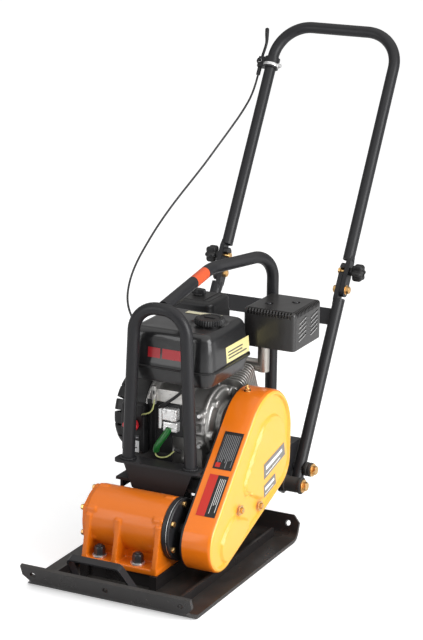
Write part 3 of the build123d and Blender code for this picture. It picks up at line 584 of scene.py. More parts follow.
def label(name, ground, ink, rows, fill, left, right, low, high, rough=0.35):
    """A generic sticker: plain bars of one colour on another."""
    made, tree, shader = new_finish(name)
    bars = use_group(tree, "Bars", {"Rows": rows, "Fill": fill, "Left": left, "Right": right,
                                    "Low": low, "High": high})
    feed(tree, shader, {"Base Color": mixed(tree, bars["Mask"], rgba(ground), rgba(ink)),
                        "Roughness": add_relief(tree, shader, (8.0, 0.05), 2.0, 30.0, rough, 0.08, 0.6)})
    return made


finishes = {}


def make_finishes(colours):
    """Every finish of the object, by name."""
    iron = (0.12, 0.11, 0.10)
    finishes.update(
        black=coating("black_powder_coat", colours.black, 0.38, shine=0.30, grain=(1.0, 0.035), under=iron,
                      wear=0.055, dust=0.05, spread=0.07),
        plate=coating("plate_paint", (0.014, 0.012, 0.012), 0.32, shine=0.45, grain=(1.6, 0.07),
                      under=(0.20, 0.18, 0.17), wear=0.10, wear_size=9.0, dust=0.14, spread=0.10,
                      under_metal=0.7),
        tank=coating("tank_gloss", colours.tank, 0.34, shine=0.35, grain=(5.0, 0.03), under=iron, wear=0.02,
                     dust=0.05, gloss=0.55, spread=0.05),
        orange=coating("orange_enamel", colours.orange, 0.34, shine=0.35, grain=(3.0, 0.04),
                       under=(0.30, 0.09, 0.02), wear=0.035, dust=0.03, gloss=0.35, spread=0.06),
        cast_orange=coating("orange_on_casting", [c * 0.86 for c in colours.orange], 0.38, shine=0.35,
                            grain=(2.2, 0.22), under=(0.42, 0.12, 0.01), wear=0.085, wear_size=5.0, dust=0.05,
                            gloss=0.25, spread=0.09, detail=5.0),
        yellow=coating("yellow_enamel", colours.yellow, 0.36, grain=(4.0, 0.04), under=(0.75, 0.38, 0.05),
                       wear=0.03, dust=0.02, gloss=0.30, spread=0.06),
        rubber=coating("rubber", (0.020, 0.019, 0.018), 0.72, grain=(0.8, 0.06), under=(0.07, 0.07, 0.07),
                       wear=0.10, dust=0.175),
        zinc=coating("yellow_zinc", colours.zinc, 0.30, 0.95, grain=(0.7, 0.02), under=(0.55, 0.30, 0.12),
                     wear=0.20, dust=0.025, spread=0.12, under_metal=0.8),
        dark_steel=coating("dark_steel", (0.085, 0.085, 0.09), 0.36, 0.75, grain=(0.6, 0.03),
                           under=(0.25, 0.22, 0.20), wear=0.14, dust=0.06, under_metal=0.9),
        steel=coating("bright_steel", (0.80, 0.80, 0.80), 0.28, 0.75, grain=(0.5, 0.015),
                      under=(0.40, 0.39, 0.38), wear=0.15, dust=0.025, spread=0.10, under_metal=1.0),
        aluminium=coating("cast_aluminium", (0.60, 0.59, 0.57), 0.42, 0.80, grain=(1.3, 0.16),
                          under=(0.26, 0.25, 0.24), wear=0.16, wear_size=4.0, dust=0.09, spread=0.10,
                          under_metal=0.7, detail=5.0),
        engine_grey=coating("engine_grey", (0.40, 0.39, 0.38), 0.42, 0.70, grain=(1.3, 0.16),
                            under=(0.34, 0.34, 0.34), wear=0.12, wear_size=4.0, dust=0.08, spread=0.10,
                            under_metal=0.8, detail=5.0),
        heat_black=coating("heat_black", (0.016, 0.015, 0.015), 0.34, 0.1, grain=(0.9, 0.05), gloss=0.25,
                           under=(0.12, 0.10, 0.09), wear=0.05, dust=0.05, spread=0.05, under_metal=0.5,
                           shine=0.6),
        exhaust=coating("hot_steel", (0.40, 0.38, 0.35), 0.40, 0.9, grain=(0.9, 0.06),
                        under=(0.22, 0.17, 0.14), wear=0.16, wear_size=10.0, dust=0.06, under_metal=0.5),
        plastic=coating("black_plastic", (0.014, 0.014, 0.015), 0.40, shine=0.32, grain=(0.5, 0.03),
                        under=(0.09, 0.09, 0.09), wear=0.05, dust=0.07, spread=0.06),
        red=coating("red_plastic", colours.red, 0.34, grain=(0.8, 0.02), under=(0.75, 0.12, 0.10), wear=0.03,
                    dust=0.04, gloss=0.2),
        green=coating("green_sleeve", (0.008, 0.13, 0.02), 0.34, grain=(1.2, 0.03), under=(0.03, 0.26, 0.07),
                      wear=0.05, dust=0.025, gloss=0.3),
        wire=coating("wire_cover", (0.55, 0.58, 0.22), 0.42, grain=(0.8, 0.02), under=(0.30, 0.42, 0.10),
                     wear=0.10, dust=0.03),
        cable=coating("cable_sheath", (0.016, 0.016, 0.017), 0.48, grain=(0.6, 0.02),
                      under=(0.06, 0.06, 0.06), wear=0.06, dust=0.05),
        cream=coating("cream_label", (0.80, 0.76, 0.52), 0.36, grain=(6.0, 0.02), under=(0.62, 0.58, 0.38),
                      wear=0.04, dust=0.025),
        banded=coating("arch_paint", colours.black, 0.38, shine=0.30, grain=(1.0, 0.035), under=iron,
                       wear=0.05, dust=0.05, band=(1, 122.0, 176.0, (0.70, 0.10, 0.03))),
    )


NODE_FINISHES = {
    "black": "engine_bed front_hoop lower_handle upper_handle handle_brackets mount_towers guard_back_plate "
             "throttle_clamp front_loop",
    "banded": "lifting_arch",
    "plate": "base_plate plate_ribs",
    "rubber": "shock_mounts rubber_bushings drive_belt",
    "zinc": "bracket_bolts fold_bolts knob_bolts",
    "dark_steel": "exciter_mount_bolts cover_bolts throttle_arm eccentric_shaft choke_lever fuel_valve_lever",
    "steel": "crankshaft exciter_bearings exciter_pulley engine_bolts clutch",
    "aluminium": "crankcase carburettor cylinder cylinder_head flywheel rocker_cover side_cover",
    "heat_black": "muffler_guard",
    "exhaust": "muffler",
    "tank": "tank_lower tank_upper",
    "orange": "belt_guard",
    "cast_orange": "exciter_housing exciter_end_cover",
    "plastic": "air_cleaner_base air_cleaner_cover air_cleaner_knob fuel_cap fan_housing recoil_cover "
               "starter_grip control_panel dipstick clamp_knob_left clamp_knob_right throttle_lever "
               "spark_plug exciter_flange",
    "red": "engine_switch",
}


# ---------------------------------------------------------------- operators
class MakesPiece:
    """Shared settings of the operators that make pieces."""

    bl_options = {"REGISTER", "UNDO"}


class COMPACTOR_OT_finishes(MakesPiece, bpy.types.Operator):
    """Build every finish and give each node of the frame its own"""

    bl_idname = "compactor.finishes"
    bl_label = "Finishes"

    def execute(self, context):
        make_finishes(context.scene.compactor_colours)
        for finish, names in NODE_FINISHES.items():
            for name in names.split():
                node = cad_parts.get(name)
                if node is None:
                    continue
                if not node.material_slots:
                    node.data.materials.append(finishes[finish])
                for material_slot in node.material_slots:
                    material_slot.material = finishes[finish]
        return {"FINISHED"}


FLOOR_HALF, FLOOR_DEEP = 14000.0, 16000.0
SUN_ANGLE, SUN_TURN = math.radians(100), (math.radians(8), math.radians(12), 0)
LIT_POINT = Vector((0.0, 0.1, 0.35))


class COMPACTOR_OT_stage(MakesPiece, bpy.types.Operator):
    """Flat pale floor, white surround, a wide light from above, a key, a fill and the camera"""

    bl_idname = "compactor.stage"
    bl_label = "Stage"

    def execute(self, context):
        scene, stage = context.scene, context.scene.compactor_stage
        scene.view_settings.view_transform = "Standard"
        white = coating("floor_paper", (0.86, 0.86, 0.86), 0.7, grain=(3.0, 0.02), dust=0.0)
        self.lift_for_camera(white.node_tree, stage.backdrop)
        half, deep = FLOOR_HALF, FLOOR_DEEP
        floor = mesh_of("floor",
                        [(cut([[-half, -deep, 0], [half, -deep, 0], [half, half, 0], [-half, half, 0]]),
                          [[0, 1, 2, 3]])])
        floor.materials.append(white)
        made = bpy.data.objects.new("floor", floor)
        scene.collection.objects.link(made)
        scene.world = bpy.data.worlds.new("surround")
        scene.world.use_nodes = True
        tree = scene.world.node_tree
        seen = tree.nodes["Background"]
        lit = add(tree, "ShaderNodeBackground", {"Strength": stage.sky})
        for background in (seen, lit):
            background.inputs["Color"].default_value = (1, 1, 1, 1)
        to_camera = add(tree, "ShaderNodeLightPath").outputs["Is Camera Ray"]
        both = add(tree, "ShaderNodeMixShader", {0: to_camera, 1: lit.outputs[0], 2: seen.outputs[0]})
        feed(tree, tree.nodes["World Output"].inputs, {"Surface": both.outputs[0]})
        sun = bpy.data.lights.new("overhead", "SUN")
        sun.energy, sun.angle = stage.overhead, SUN_ANGLE
        above = bpy.data.objects.new("overhead", sun)
        above.rotation_euler = SUN_TURN
        scene.collection.objects.link(above)
        lights = (("key", (3.2, -0.4, 1.5), 2.2, 2.6, stage.key_power),
                  ("fill", (-2.2, -3.4, 1.6), 1.6, 2.4, stage.fill_power))
        for name, spot, width, height, power in lights:
            lamp = bpy.data.lights.new(name, "AREA")
            lamp.shape, lamp.size, lamp.size_y, lamp.energy = "RECTANGLE", width, height, power
            holder = bpy.data.objects.new(name, lamp)
            holder.location = spot
            holder.rotation_euler = (LIT_POINT - Vector(spot)).to_track_quat("-Z", "Y").to_euler()
            scene.collection.objects.link(holder)
        self.add_camera(scene, stage)
        return {"FINISHED"}

    def lift_for_camera(self, tree, strength):
        """The paper floor glows a little where it is seen, so that it runs into a white surround."""
        shader = next(node for node in tree.nodes if node.type == "BSDF_PRINCIPLED")
        to_camera = add(tree, "ShaderNodeLightPath").outputs["Is Camera Ray"]
        feed(tree, shader.inputs, {"Emission Color": (1, 1, 1, 1),
                                   "Emission Strength": math_node(tree, "MULTIPLY", to_camera, strength)})

    def add_camera(self, scene, stage):
        """A camera at the given turn, height and roll round its target."""
        a, e, r = stage.azimuth, stage.elevation, stage.roll
        back = Vector((math.sin(a) * math.cos(e), -math.cos(a) * math.cos(e), math.sin(e)))
        level = Vector((math.cos(a), math.sin(a), 0))
        upright = back.cross(level)
        right = level * math.cos(r) + upright * math.sin(r)
        up = upright * math.cos(r) - level * math.sin(r)
        spot = Vector(stage.target) + back * stage.distance
        lens = bpy.data.cameras.new("camera")
        lens.lens = stage.lens
        lens.clip_end = 60.0
        camera = bpy.data.objects.new("camera", lens)
        camera.matrix_world = Matrix((
            (right.x, up.x, back.x, spot.x), (right.y, up.y, back.y, spot.y), (right.z, up.z, back.z, spot.z),
            (0, 0, 0, 1)))
        scene.collection.objects.link(camera)
        scene.camera = camera


# the throttle cable's two lengths, which meet level with the fold of the handle; in metres
CABLE_UPPER = [(-0.184, 0.8161, 0.93134), (-0.184, 0.7941, 0.89324), (-0.200, 0.769, 0.849),
               (-0.220, 0.742, 0.808), (-0.238, 0.708, 0.768), (-0.253, 0.670, 0.730), (-0.267, 0.630, 0.696),
               (-0.279, 0.588, 0.664), (-0.288, 0.545, 0.633), (-0.291, 0.523, 0.6175)]
CABLE_LOWER = [(-0.291, 0.523, 0.6175), (-0.294, 0.501, 0.602), (-0.298, 0.457, 0.569),
               (-0.298, 0.412, 0.538), (-0.292, 0.369, 0.505), (-0.278, 0.332, 0.470), (-0.248, 0.303, 0.438),
               (-0.205, 0.287, 0.413), (-0.154, 0.281, 0.397), (-0.104, 0.281, 0.397)]


class COMPACTOR_OT_cables(MakesPiece, bpy.types.Operator):
    """Throttle cable: a stiff sheath that bows from the lever's clamp to the carburettor's bracket"""

    bl_idname = "compactor.cables"
    bl_label = "Throttle cable"

    def execute(self, context):
        width = context.scene.compactor_sizes.cable_width
        runs = (("throttle_cable_upper", CABLE_UPPER, "upper_handle", "lower_handle"),
                ("throttle_cable_lower", CABLE_LOWER, "lower_handle", "frame"))
        for name, route, start_body, end_body in runs:
            line = bow(route)
            made = piece(name + "_sheath", [tube(line / MM, width / 2 / MM, 14, (0.3, -0.8, 0.5))],
                         finishes["cable"], None, (name,))
            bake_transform(made)
        return {"FINISHED"}


def span(name):
    """Lowest and highest corner of a node, in millimetres."""
    low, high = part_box(name)
    return cut(low) / MM, cut(high) / MM


def numbered(shells, number):
    """The same shells, all in the material of that number."""
    return [(points, faces, number) for points, faces, *_ in shells]


def merged(node_name):
    """A node's own shape as one shell: a copy of its mesh with its doubles merged, for a casting."""
    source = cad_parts[node_name].data.copy()
    work = bmesh.new()
    work.from_mesh(source)
    bmesh.ops.remove_doubles(work, verts=work.verts, dist=1e-5)
    points = cut([v.co for v in work.verts]) / MM
    work.verts.index_update()
    faces = [[v.index for v in f.verts] for f in work.faces]
    work.free()
    bpy.data.meshes.remove(source)
    return points, faces


def pierced(name, shells, cutters):
    """The mesh of shells with the space of the cutters taken away."""
    holders = []
    for part, own in (("body", shells), ("cutters", cutters)):
        holder = bpy.data.objects.new(f"{name}_{part}", mesh_of(f"{name}_{part}", own))
        bpy.context.scene.collection.objects.link(holder)
        holders.append(holder)
    remove = holders[0].modifiers.new("holes", "BOOLEAN")
    remove.operation, remove.object, remove.solver = "DIFFERENCE", holders[1], "EXACT"
    remove.use_self = True
    made = bpy.data.meshes.new_from_object(holders[0].evaluated_get(bpy.context.evaluated_depsgraph_get()))
    for holder in holders:
        bpy.data.objects.remove(holder)
    made.name = name
    return made


STICKER_THICK = 0.35


def sticker(name, corners, finish):
    """A thin sheet between four corners, given anticlockwise as seen from outside, with its own
    coordinates: U along the first side, V along the last."""
    outer = cut(corners)
    inward = -unit(np.cross(outer[1] - outer[0], outer[3] - outer[0]))
    points = np.concatenate([outer, outer + inward * STICKER_THICK])
    faces = [[0, 1, 2, 3], [7, 6, 5, 4], [0, 4, 5, 1], [1, 5, 6, 2], [2, 6, 7, 3], [3, 7, 4, 0]]
    mesh = mesh_of(name, [(points, faces)])
    layer = mesh.uv_layers.new(name="UVMap")
    own = {0: (0, 0), 1: (1, 0), 2: (1, 1), 3: (0, 1)}
    numbers = [loop.vertex_index % 4 for loop in mesh.loops]
    layer.data.foreach_set("uv", cut([own[k] for k in numbers]).ravel())
    return piece(name, mesh, finish)


def bolts_on(spots, direction, across, high, washer=0.0, washer_high=2.0, washer_number=0):
    """Hexagon heads at several spots that all face one way."""
    shells = []
    reference = (0, 0, 1) if abs(unit(direction)[2]) < 0.9 else (1, 0, 0)
    for spot in spots:
        made = hex_head(place(spot, direction, reference), across, high, washer, washer_high)
        shells += numbered(made[:-1], washer_number) + made[-1:]
    return shells


EXCITER_BOLT_RADIUS = 57.0
FOOT_REACH, FOOT_THICK = 84, 14


class COMPACTOR_OT_exciter(MakesPiece, bpy.types.Operator):
    """Exciter: a casting whose barrel runs down through flared ribs to its feet, its covers and bolts"""

    bl_idname = "compactor.exciter"
    bl_label = "Exciter"

    def execute(self, context):
        low, high = span("exciter_housing")
        cover_low, cover_high = span("exciter_end_cover")
        axis_y, axis_z = (cover_low[1:] + cover_high[1:]) / 2
        left, right, foot = low[0], high[0], low[2]
        barrel = (cover_high[1] - cover_low[1]) / 2
        angles = math.radians(30) + np.arange(6) * TAU / 6
        ring_spots = round_of((axis_y, axis_z), EXCITER_BOLT_RADIUS, angles)
        sole = cut([[left, axis_y - FOOT_REACH, foot], [right, axis_y + FOOT_REACH, foot + FOOT_THICK]])
        shells = [rod((left, axis_y, axis_z), (right, axis_y, axis_z), barrel, 2.0, 96),
                  box(*sole, 8, 3),
                  box((left + 8, axis_y - 44, foot), (right - 8, axis_y + 44, axis_z), 8, 2)]
        fall = np.linspace(0, 1, 12)
        flare = np.column_stack([-66.5 - 18 * fall**1.3, 22 - 90 * fall])
        half = np.concatenate([flare, [[-84, foot - axis_z + 1]]])
        outline = np.concatenate([half, half[::-1] * [-1, 1]]) + [axis_y, axis_z]
        for x in (left + 2, -43, right - 14):
            shells.append(prism(outline, side_on(), x, x + 12))
        for y, z in ring_spots:
            y, z = axis_y + (y - axis_y) * 1.03, axis_z + (z - axis_z) * 1.03
            for start in (left, right - 24):
                shells.append(rod((start, y, z), (start + 24, y, z), 10.5, 3))
        piece("exciter_casting", cast("exciter_casting", shells, 1.9, 5), finishes["cast_orange"], "frame",
              ("exciter_housing",))

        def lobed(a):
            return barrel - 5 + 5 * np.exp(-((a % (TAU / 6) - TAU / 12) / 0.17) ** 2)

        facing_left = place((left, axis_y, axis_z), (-1, 0, 0), (0, 1, 0))
        cover = [(0, 0), (0, 7), (1, 9), (3, 10), (20, 10), (24, 7.5), (34, 7.5), (36, 9.5), (50, 9.8),
                 (54, 6)]
        piece("exciter_cover", [slab(disc(lobed, 144), cover, facing_left)], finishes["cast_orange"], "frame",
              ("exciter_end_cover",))
        flange_low, flange_high = span("exciter_flange")
        at_right = place((flange_low[0], axis_y, axis_z), (1, 0, 0), (0, 1, 0))
        flange_r = (flange_high[1] - flange_low[1]) / 2
        steps = [(2, 0), (0, 1.5), (0, 8), (2.5, 9.5), (2.5, 12), (0, 13), (0, 16), (2, 18)]
        rim = block(disc(flange_r - 1.2, 96), 10.2, 11.6, at_right, 0.3)
        piece("exciter_black_flange", [slab(disc(flange_r, 96), steps, at_right), (*rim, 1)],
              [finishes["black"], finishes["steel"]], "frame", ("exciter_flange",))

        heads = bolts_on([(cover_low[0], y, z) for y, z in ring_spots], (-1, 0, 0), 11.2, 6)
        heads += bolts_on([(flange_high[0], y, z) for y, z in ring_spots], (1, 0, 0), 11.2, 6)
        guard_face = span("belt_guard")[1][0]
        heads += bolts_on([(guard_face, 8, 150), (guard_face, 104, 128)], (1, 0, 0), 11.2, 5, 11.5, 1)
        piece("cover_bolt_heads", heads, finishes["zinc"], "frame", ("cover_bolts",))

        top = foot + FOOT_THICK
        spots = [(x, axis_y + s * 65, top) for x in (-80, 12) for s in (-1, 1)]
        feet = bolts_on(spots, (0, 0, 1), 21, 18, 15.5, 4.5, 1)
        feet += [(*rod((x, y, top + 22), (x, y, top + 26), 6), 0) for x, y, top in spots]
        piece("foot_bolts", feet, [finishes["dark_steel"], finishes["steel"]], "frame",
              ("exciter_mount_bolts",))
        return {"FINISHED"}


def inside(points, circles):
    """How far points lie inside the hull of circles: over all directions, the least of the hull's
    reach minus the point's."""
    angles = np.linspace(0, TAU, 96, endpoint=False)
    ways = np.stack([np.cos(angles), np.sin(angles)])
    circles = cut(circles)
    reach = (circles[:, :2] @ ways + circles[:, 2:]).max(0)
    return (reach - points @ ways).min(-1)


# circles as (y, z, radius) whose hulls are the guard's outline and its two raised panels
GUARD_CIRCLES = [(150, 262, 112), (-70, 102, 64), (195, 200, 66)]
UPPER_PANEL = [(160, 250, 68), (52, 192, 22), (124, 160, 24), (195, 204, 48)]
LOWER_PANEL = [(-43, 86, 37), (40, 104, 16), (-20, 128, 16)]
PANEL_HIGH, PANEL_SLOPE = 6.0, 5.0
CROWN_X, CROWN_LEAN = 128, 0.15


class COMPACTOR_OT_belt_guard(MakesPiece, bpy.types.Operator):
    """Belt guard: a pressing whose wall turns through a rounded edge into a face with two raised
    panels, its labels and the bolt on top"""

    bl_idname = "compactor.belt_guard"
    bl_label = "Belt guard"

    def execute(self, context):
        low, high = span("belt_guard")
        outline = hull(GUARD_CIRCLES, 44, 56)
        deep, turn = high[0] - low[0], 10.0
        levels = [(0.0, 0.0), (0.0, deep * 0.5)] + edge(turn, 0, deep, 9)
        levels += [(inset, deep) for inset in np.arange(turn + 2, 61, 1.6)]
        rings = [np.column_stack([ring(outline, inset), np.full(len(outline[1]), height)])
                 for inset, height in levels]
        middle = rings[-1].mean(0)
        rings += [middle + (rings[-1] - middle) * share for share in np.linspace(1, 0.02, 22)[1:]]
        rings = cut(rings)
        flat = rings[..., :2]
        raised = np.maximum(smooth(0, PANEL_SLOPE, inside(flat, UPPER_PANEL)),
                            smooth(0, PANEL_SLOPE, inside(flat, LOWER_PANEL)))
        on_face = smooth(turn, turn + 4, cut([k[0] for k in levels] + [60.0] * 21))
        rings[..., 2] += PANEL_HIGH * (raised - 1) * on_face[:, None]
        points, faces = skin(put(rings, side_on(low[0])))
        columns = len(outline[1])
        face_start = 6 * columns
        numbers = np.zeros(len(faces), int)
        numbers[face_start:] = 1
        inner_end = (len(rings) - 1) * columns
        numbers[inner_end:inner_end + columns] = 0
        piece("belt_guard_pressing", [(points, faces, numbers.tolist())],
              [finishes["orange"], finishes["yellow"]], "frame", ("belt_guard",))
        self.add_labels(cut(GUARD_CIRCLES), low, high)
        y, z, radius = GUARD_CIRCLES[0]
        upward = (0, -math.sin(CROWN_LEAN), math.cos(CROWN_LEAN))
        crown = cut([CROWN_X, y - radius * math.sin(CROWN_LEAN), z + radius * math.cos(CROWN_LEAN)])
        stud = rod(crown, crown + cut(upward) * 15, 3)
        piece("guard_top_bolt", bolts_on([crown], upward, 10, 6, 8, 1.6) + [stud], finishes["zinc"], "frame",
              ())
        return {"FINISHED"}

    def add_labels(self, circles, low, high):
        """Stickers on the wall's straight flank, by shares of its length, and on the face."""
        first, last = circles[0], circles[1]
        ahead = last[:2] - first[:2]
        normal = math.atan2(ahead[1], ahead[0]) - math.acos((first[2] - last[2]) / np.hypot(*ahead))
        out = cut([math.cos(normal), math.sin(normal)])
        start, end = first[:2] + out * (first[2] + 0.5), last[:2] + out * (last[2] + 0.5)

        def on_flank(x, share, lift=0.0):
            y, z = start + (end - start) * share + out * lift
            return x, y, z

        dark, grey, red = (0.008, 0.008, 0.008), (0.24, 0.24, 0.25), (0.56, 0.016, 0.006)
        pale = (0.75, 0.74, 0.72)
        text = label("wall_label", dark, grey, 11, 0.36, 0.08, 0.96, 0.10, 0.92)
        strip = label("wall_label_dark", dark, pale, 6, 0.30, 0.08, 0.92, 0.12, 0.80)
        plain = coating("wall_label_red", red, 0.35, grain=(6, 0.02), dust=0.03)
        face_text = label("face_label", (0.20, 0.19, 0.18), (0.93, 0.92, 0.86), 2, 0.46, 0.10, 0.92, 0.16,
                          0.84)
        left, right = low[0] + 14, high[0] - 10
        for name, a, b, x0, x1, finish in (("upper_wall_label", 0.16, 0.49, left, right, text),
                                           ("lower_wall_label", 0.54, 0.90, left + 20, right, strip),
                                           ("lower_wall_band", 0.54, 0.90, left, left + 20, plain)):
            sticker(name, [on_flank(x1, a), on_flank(x1, b), on_flank(x0, b), on_flank(x0, a)], finish)
        near, far, lift = left + 4, left + 15, 0.3
        sticker("upper_wall_mark", [on_flank(far, 0.435, lift), on_flank(far, 0.475, lift),
                                    on_flank(near, 0.475, lift), on_flank(near, 0.435, lift)], plain)
        face = high[0] + 0.6
        for name, corners in (("face_label_long", [(120, 182), (226, 208), (219, 238), (118, 217)]),
                              ("face_label_short", [(122, 140), (182, 155), (176, 180), (120, 168)])):
            sticker(name, [(face, y, z) for y, z in corners], face_text)


class COMPACTOR_OT_fuel_tank(MakesPiece, bpy.types.Operator):
    """Fuel tank: two pressings with soft shoulders, joined at a flange, a dished top and a ribbed cap"""

    bl_idname = "compactor.fuel_tank"
    bl_label = "Fuel tank"

    def execute(self, context):
        low, high = span("tank_upper")
        bottom = span("tank_lower")[0][2]
        cap_low, cap_high = span("fuel_cap")
        middle = (low + high)[:2] / 2
        half = (high - low)[:2] / 2
        seam = low[2]
        top = cap_low[2] - 0.4
        flange = rounded(half[0], half[1], 34, 14, 3)
        body = rounded(half[0] - 6, half[1] - 6, 30, 14, 26)
        cap_spot = (cap_low + cap_high)[:2] / 2 - middle
        where = place((*middle, 0), (0, 0, 1))

        def top_relief(x, y, inset):
            near_cap = np.hypot(x - cap_spot[0], y - cap_spot[1])
            crown = 3.0 * np.clip(1 - (x / half[0]) ** 2, 0, 1) * np.clip(1 - (y / half[1]) ** 2, 0, 1)
            dish = smooth(20, 26, inset) * 4 * (1 - smooth(38, 46, near_cap))
            return smooth(20, 40, inset) * (crown - 3.0) - dish

        heights = [(0, seam + 2), (0.6, seam + 9), (1.6, seam + 22), (3.2, seam + 38), (4.6, seam + 50),
                   (6.0, seam + 58)]
        shoulder = edge(20, 6.5, top, 9)
        flat_top = [(29.0, top)]
        rings = []
        for inset, height in heights + shoulder + flat_top:
            flat = ring(body, inset)
            rings.append(np.column_stack([flat, np.full(len(flat), height)]))
        last = rings[-1]
        centre = last.mean(0)
        rings += [centre + (last - centre) * share for share in np.linspace(1, 0.03, 30)[1:]]
        rings = cut(rings)
        insets = cut([k[0] for k in heights + shoulder + flat_top] + list(np.linspace(30, 60, 29)))
        for k, inset in enumerate(insets):
            rings[k, :, 2] += top_relief(rings[k, :, 0], rings[k, :, 1], inset)
        front = smooth(half[1] - 20, half[1] - 12, -rings[..., 1])
        across, height = rings[..., 0], rings[..., 2]
        wave = 20 + 3.0 * np.sin(across / 12)
        panel = (front * smooth(0, 5, 62 - np.abs(across)) * smooth(0, 6, top - wave - height)
                 * smooth(0, 5, height - seam - 10))
        rings[..., 1] += 3.0 * panel
        upper = [skin(put(rings, where)),
                 slab(flange, [(1, seam), (0, seam + 0.6), (0, seam + 1.4), (1, seam + 2)],
                      where)]
        neck = place((*(middle + cap_spot), top - 6), (0, 0, 1))
        upper.append(block(disc(25, 64), 0, 7, neck, 1.5))
        piece("tank_shell_upper", upper, finishes["tank"], "frame", ("tank_upper",))
        deep = [(14, bottom), (10, bottom + 3), (8, bottom + 9), (4, seam - 8), (3.5, seam - 1.5)]
        lower = [slab(body, [(i - 3.4, h) for i, h in deep], where),
                 slab(flange, [(1, seam - 2), (0, seam - 1.4), (0, seam - 0.6), (1, seam)], where)]
        piece("tank_shell_lower", lower, finishes["tank"], "frame", ("tank_lower",))

        cap_r = (cap_high[0] - cap_low[0]) / 2
        on_cap = place((*(middle + cap_spot), cap_low[2]), (0, 0, 1))

        def ribbed(a):
            return cap_r - 0.9 + 0.9 * np.cos(a * 36)

        grip = [(1, 0), (0, 1), (0, 9), (1.5, 12), (5, 13.2), (9, 13.2), (10.5, 11.8), (24, 12.4)]
        piece("fuel_cap_ribbed", [slab(disc(ribbed, 288), grip, on_cap),
                                  block(rounded(13, 3.5, 3, 6), 11.5, 14.8, on_cap, 1)],
              finishes["plastic"], "fuel_cap", ("fuel_cap",))
        self.add_labels(middle, half, seam, top)
        return {"FINISHED"}

    def add_labels(self, middle, half, seam, top):
        """A plain red badge in the front panel, a lined label on the side and a strip on the top."""
        front, side = middle[1] - half[1] + 9.4, middle[0] + half[0] - 6.1
        badge = coating("badge_red", (0.42, 0.012, 0.02), 0.34, grain=(5, 0.02), gloss=0.4, dust=0.05)
        for k, (start, end) in enumerate(((-45, -16), (-11, 41))):
            lean = 2.5
            sticker(f"tank_badge_{k}", [(start, front, seam + 15), (end, front, seam + 15),
                                        (end, front + lean, seam + 41), (start, front + lean, seam + 41)],
                    badge)
        lined = label("tank_label", (0.74, 0.66, 0.30), (0.05, 0.05, 0.05), 5, 0.46, 0.08, 0.92, 0.10, 0.74)
        lean = 3.0
        sticker("tank_side_label",
                [(side, 76, seam + 6), (side, 186, seam + 6), (side - lean, 186, seam + 40),
                 (side - lean, 76, seam + 40)], lined)
        sticker("tank_top_strip", [(-34, 152, top + 0.2), (48, 152, top + 0.2), (48, 172, top - 0.6),
                                   (-34, 172, top - 0.6)], finishes["cream"])


LOUVRE_PITCH, LOUVRE_WIDE = 7.2, 3.2
SLOT_ROWS, SLOT_PITCH, SLOT_SLANT = 5, 9.5, math.radians(14)


class COMPACTOR_OT_muffler(MakesPiece, bpy.types.Operator):
    """Muffler guard: a folded sheet with rows of louvres along its upper edges and slots in its side"""

    bl_idname = "compactor.muffler"
    bl_label = "Muffler guard"

    def execute(self, context):
        low, high = span("muffler_guard")
        middle, half = (low + high) / 2, (high - low) / 2
        where = place((middle[0], middle[1], low[2]), (0, 0, 1))
        tall = high[2] - low[2]
        outline = rounded(half[0], half[1], 9, 8, 3)
        levels = [(0.8, 0), (0, 0.8), (0, tall - 14)] + [(i, h) for i, h in edge(6, 0, tall - 1, 5)]
        levels += [(14, tall - 1), (16, tall), (40, tall)]
        inner = rounded(half[0] - 1.6, half[1] - 1.6, 7.4, 8, 1)
        hollow = slab(inner, [(0, -5), (0, tall - 9), (5, tall - 3), (40, tall - 3)], where)
        cutters = [hollow]
        for y in np.arange(low[1] + 12, high[1] - 10, LOUVRE_PITCH):
            cutters.append(box((high[0] - 7, y, high[2] - 13), (high[0] + 4, y + LOUVRE_WIDE, high[2] + 3),
                               1.2, 0.4))
        for x in np.arange(low[0] + 10, high[0] - 10, LOUVRE_PITCH):
            cutters.append(box((x, low[1] - 4, high[2] - 13), (x + LOUVRE_WIDE, low[1] + 7, high[2] + 3), 1.2,
                               0.4))
        # thin bright steel strips along one edge of each side slot: a painted highlight where the slot's
        # sheet edge catches the light
        highlight_strips = []
        along, over = math.cos(SLOT_SLANT), math.sin(SLOT_SLANT)
        axes = cut([[0, along, over], [0, -over, along], [1, 0, 0]])
        for column in (low[1] + 42, low[1] + 103):
            for row in range(SLOT_ROWS):
                slot = cut([high[0] - 8, column, low[2] + 24 + row * SLOT_PITCH]), axes
                cutters.append(block(rounded(19, 1.9, 1.8, 5), 0, 20, slot, 0.3))
                highlight_strips.append(block(rounded(18, 0.55, 0.5, 4), 6.4, 8.5, moved(slot, y=-2.2), 0.2))
        spots = [(middle[0] + s * 24, middle[1] + s * 18) for s in (-1, 1)]
        for x, y in spots:
            cutters.append(rod((x, y, high[2] - 2.2), (x, y, high[2] + 4), 9.5, 0.4))
        guard = pierced("muffler_guard_sheet", [slab(outline, levels, where)], cutters)
        piece("muffler_guard_sheet", guard, finishes["heat_black"], "frame", ("muffler_guard",),
              sharp=28)
        # painted highlight: bright steel strips on the slot edges stand for light caught by the sheet's
        # edges, not lips pressed in the sheet
        piece("muffler_slot_highlights", highlight_strips, finishes["steel"], "frame", ())
        screws = bolts_on([(x, y, high[2] - 4.2) for x, y in spots], (0, 0, 1), 10, 4.5, 8, 1.4)
        piece("muffler_screws", screws, finishes["dark_steel"], "frame", ())
        return {"FINISHED"}


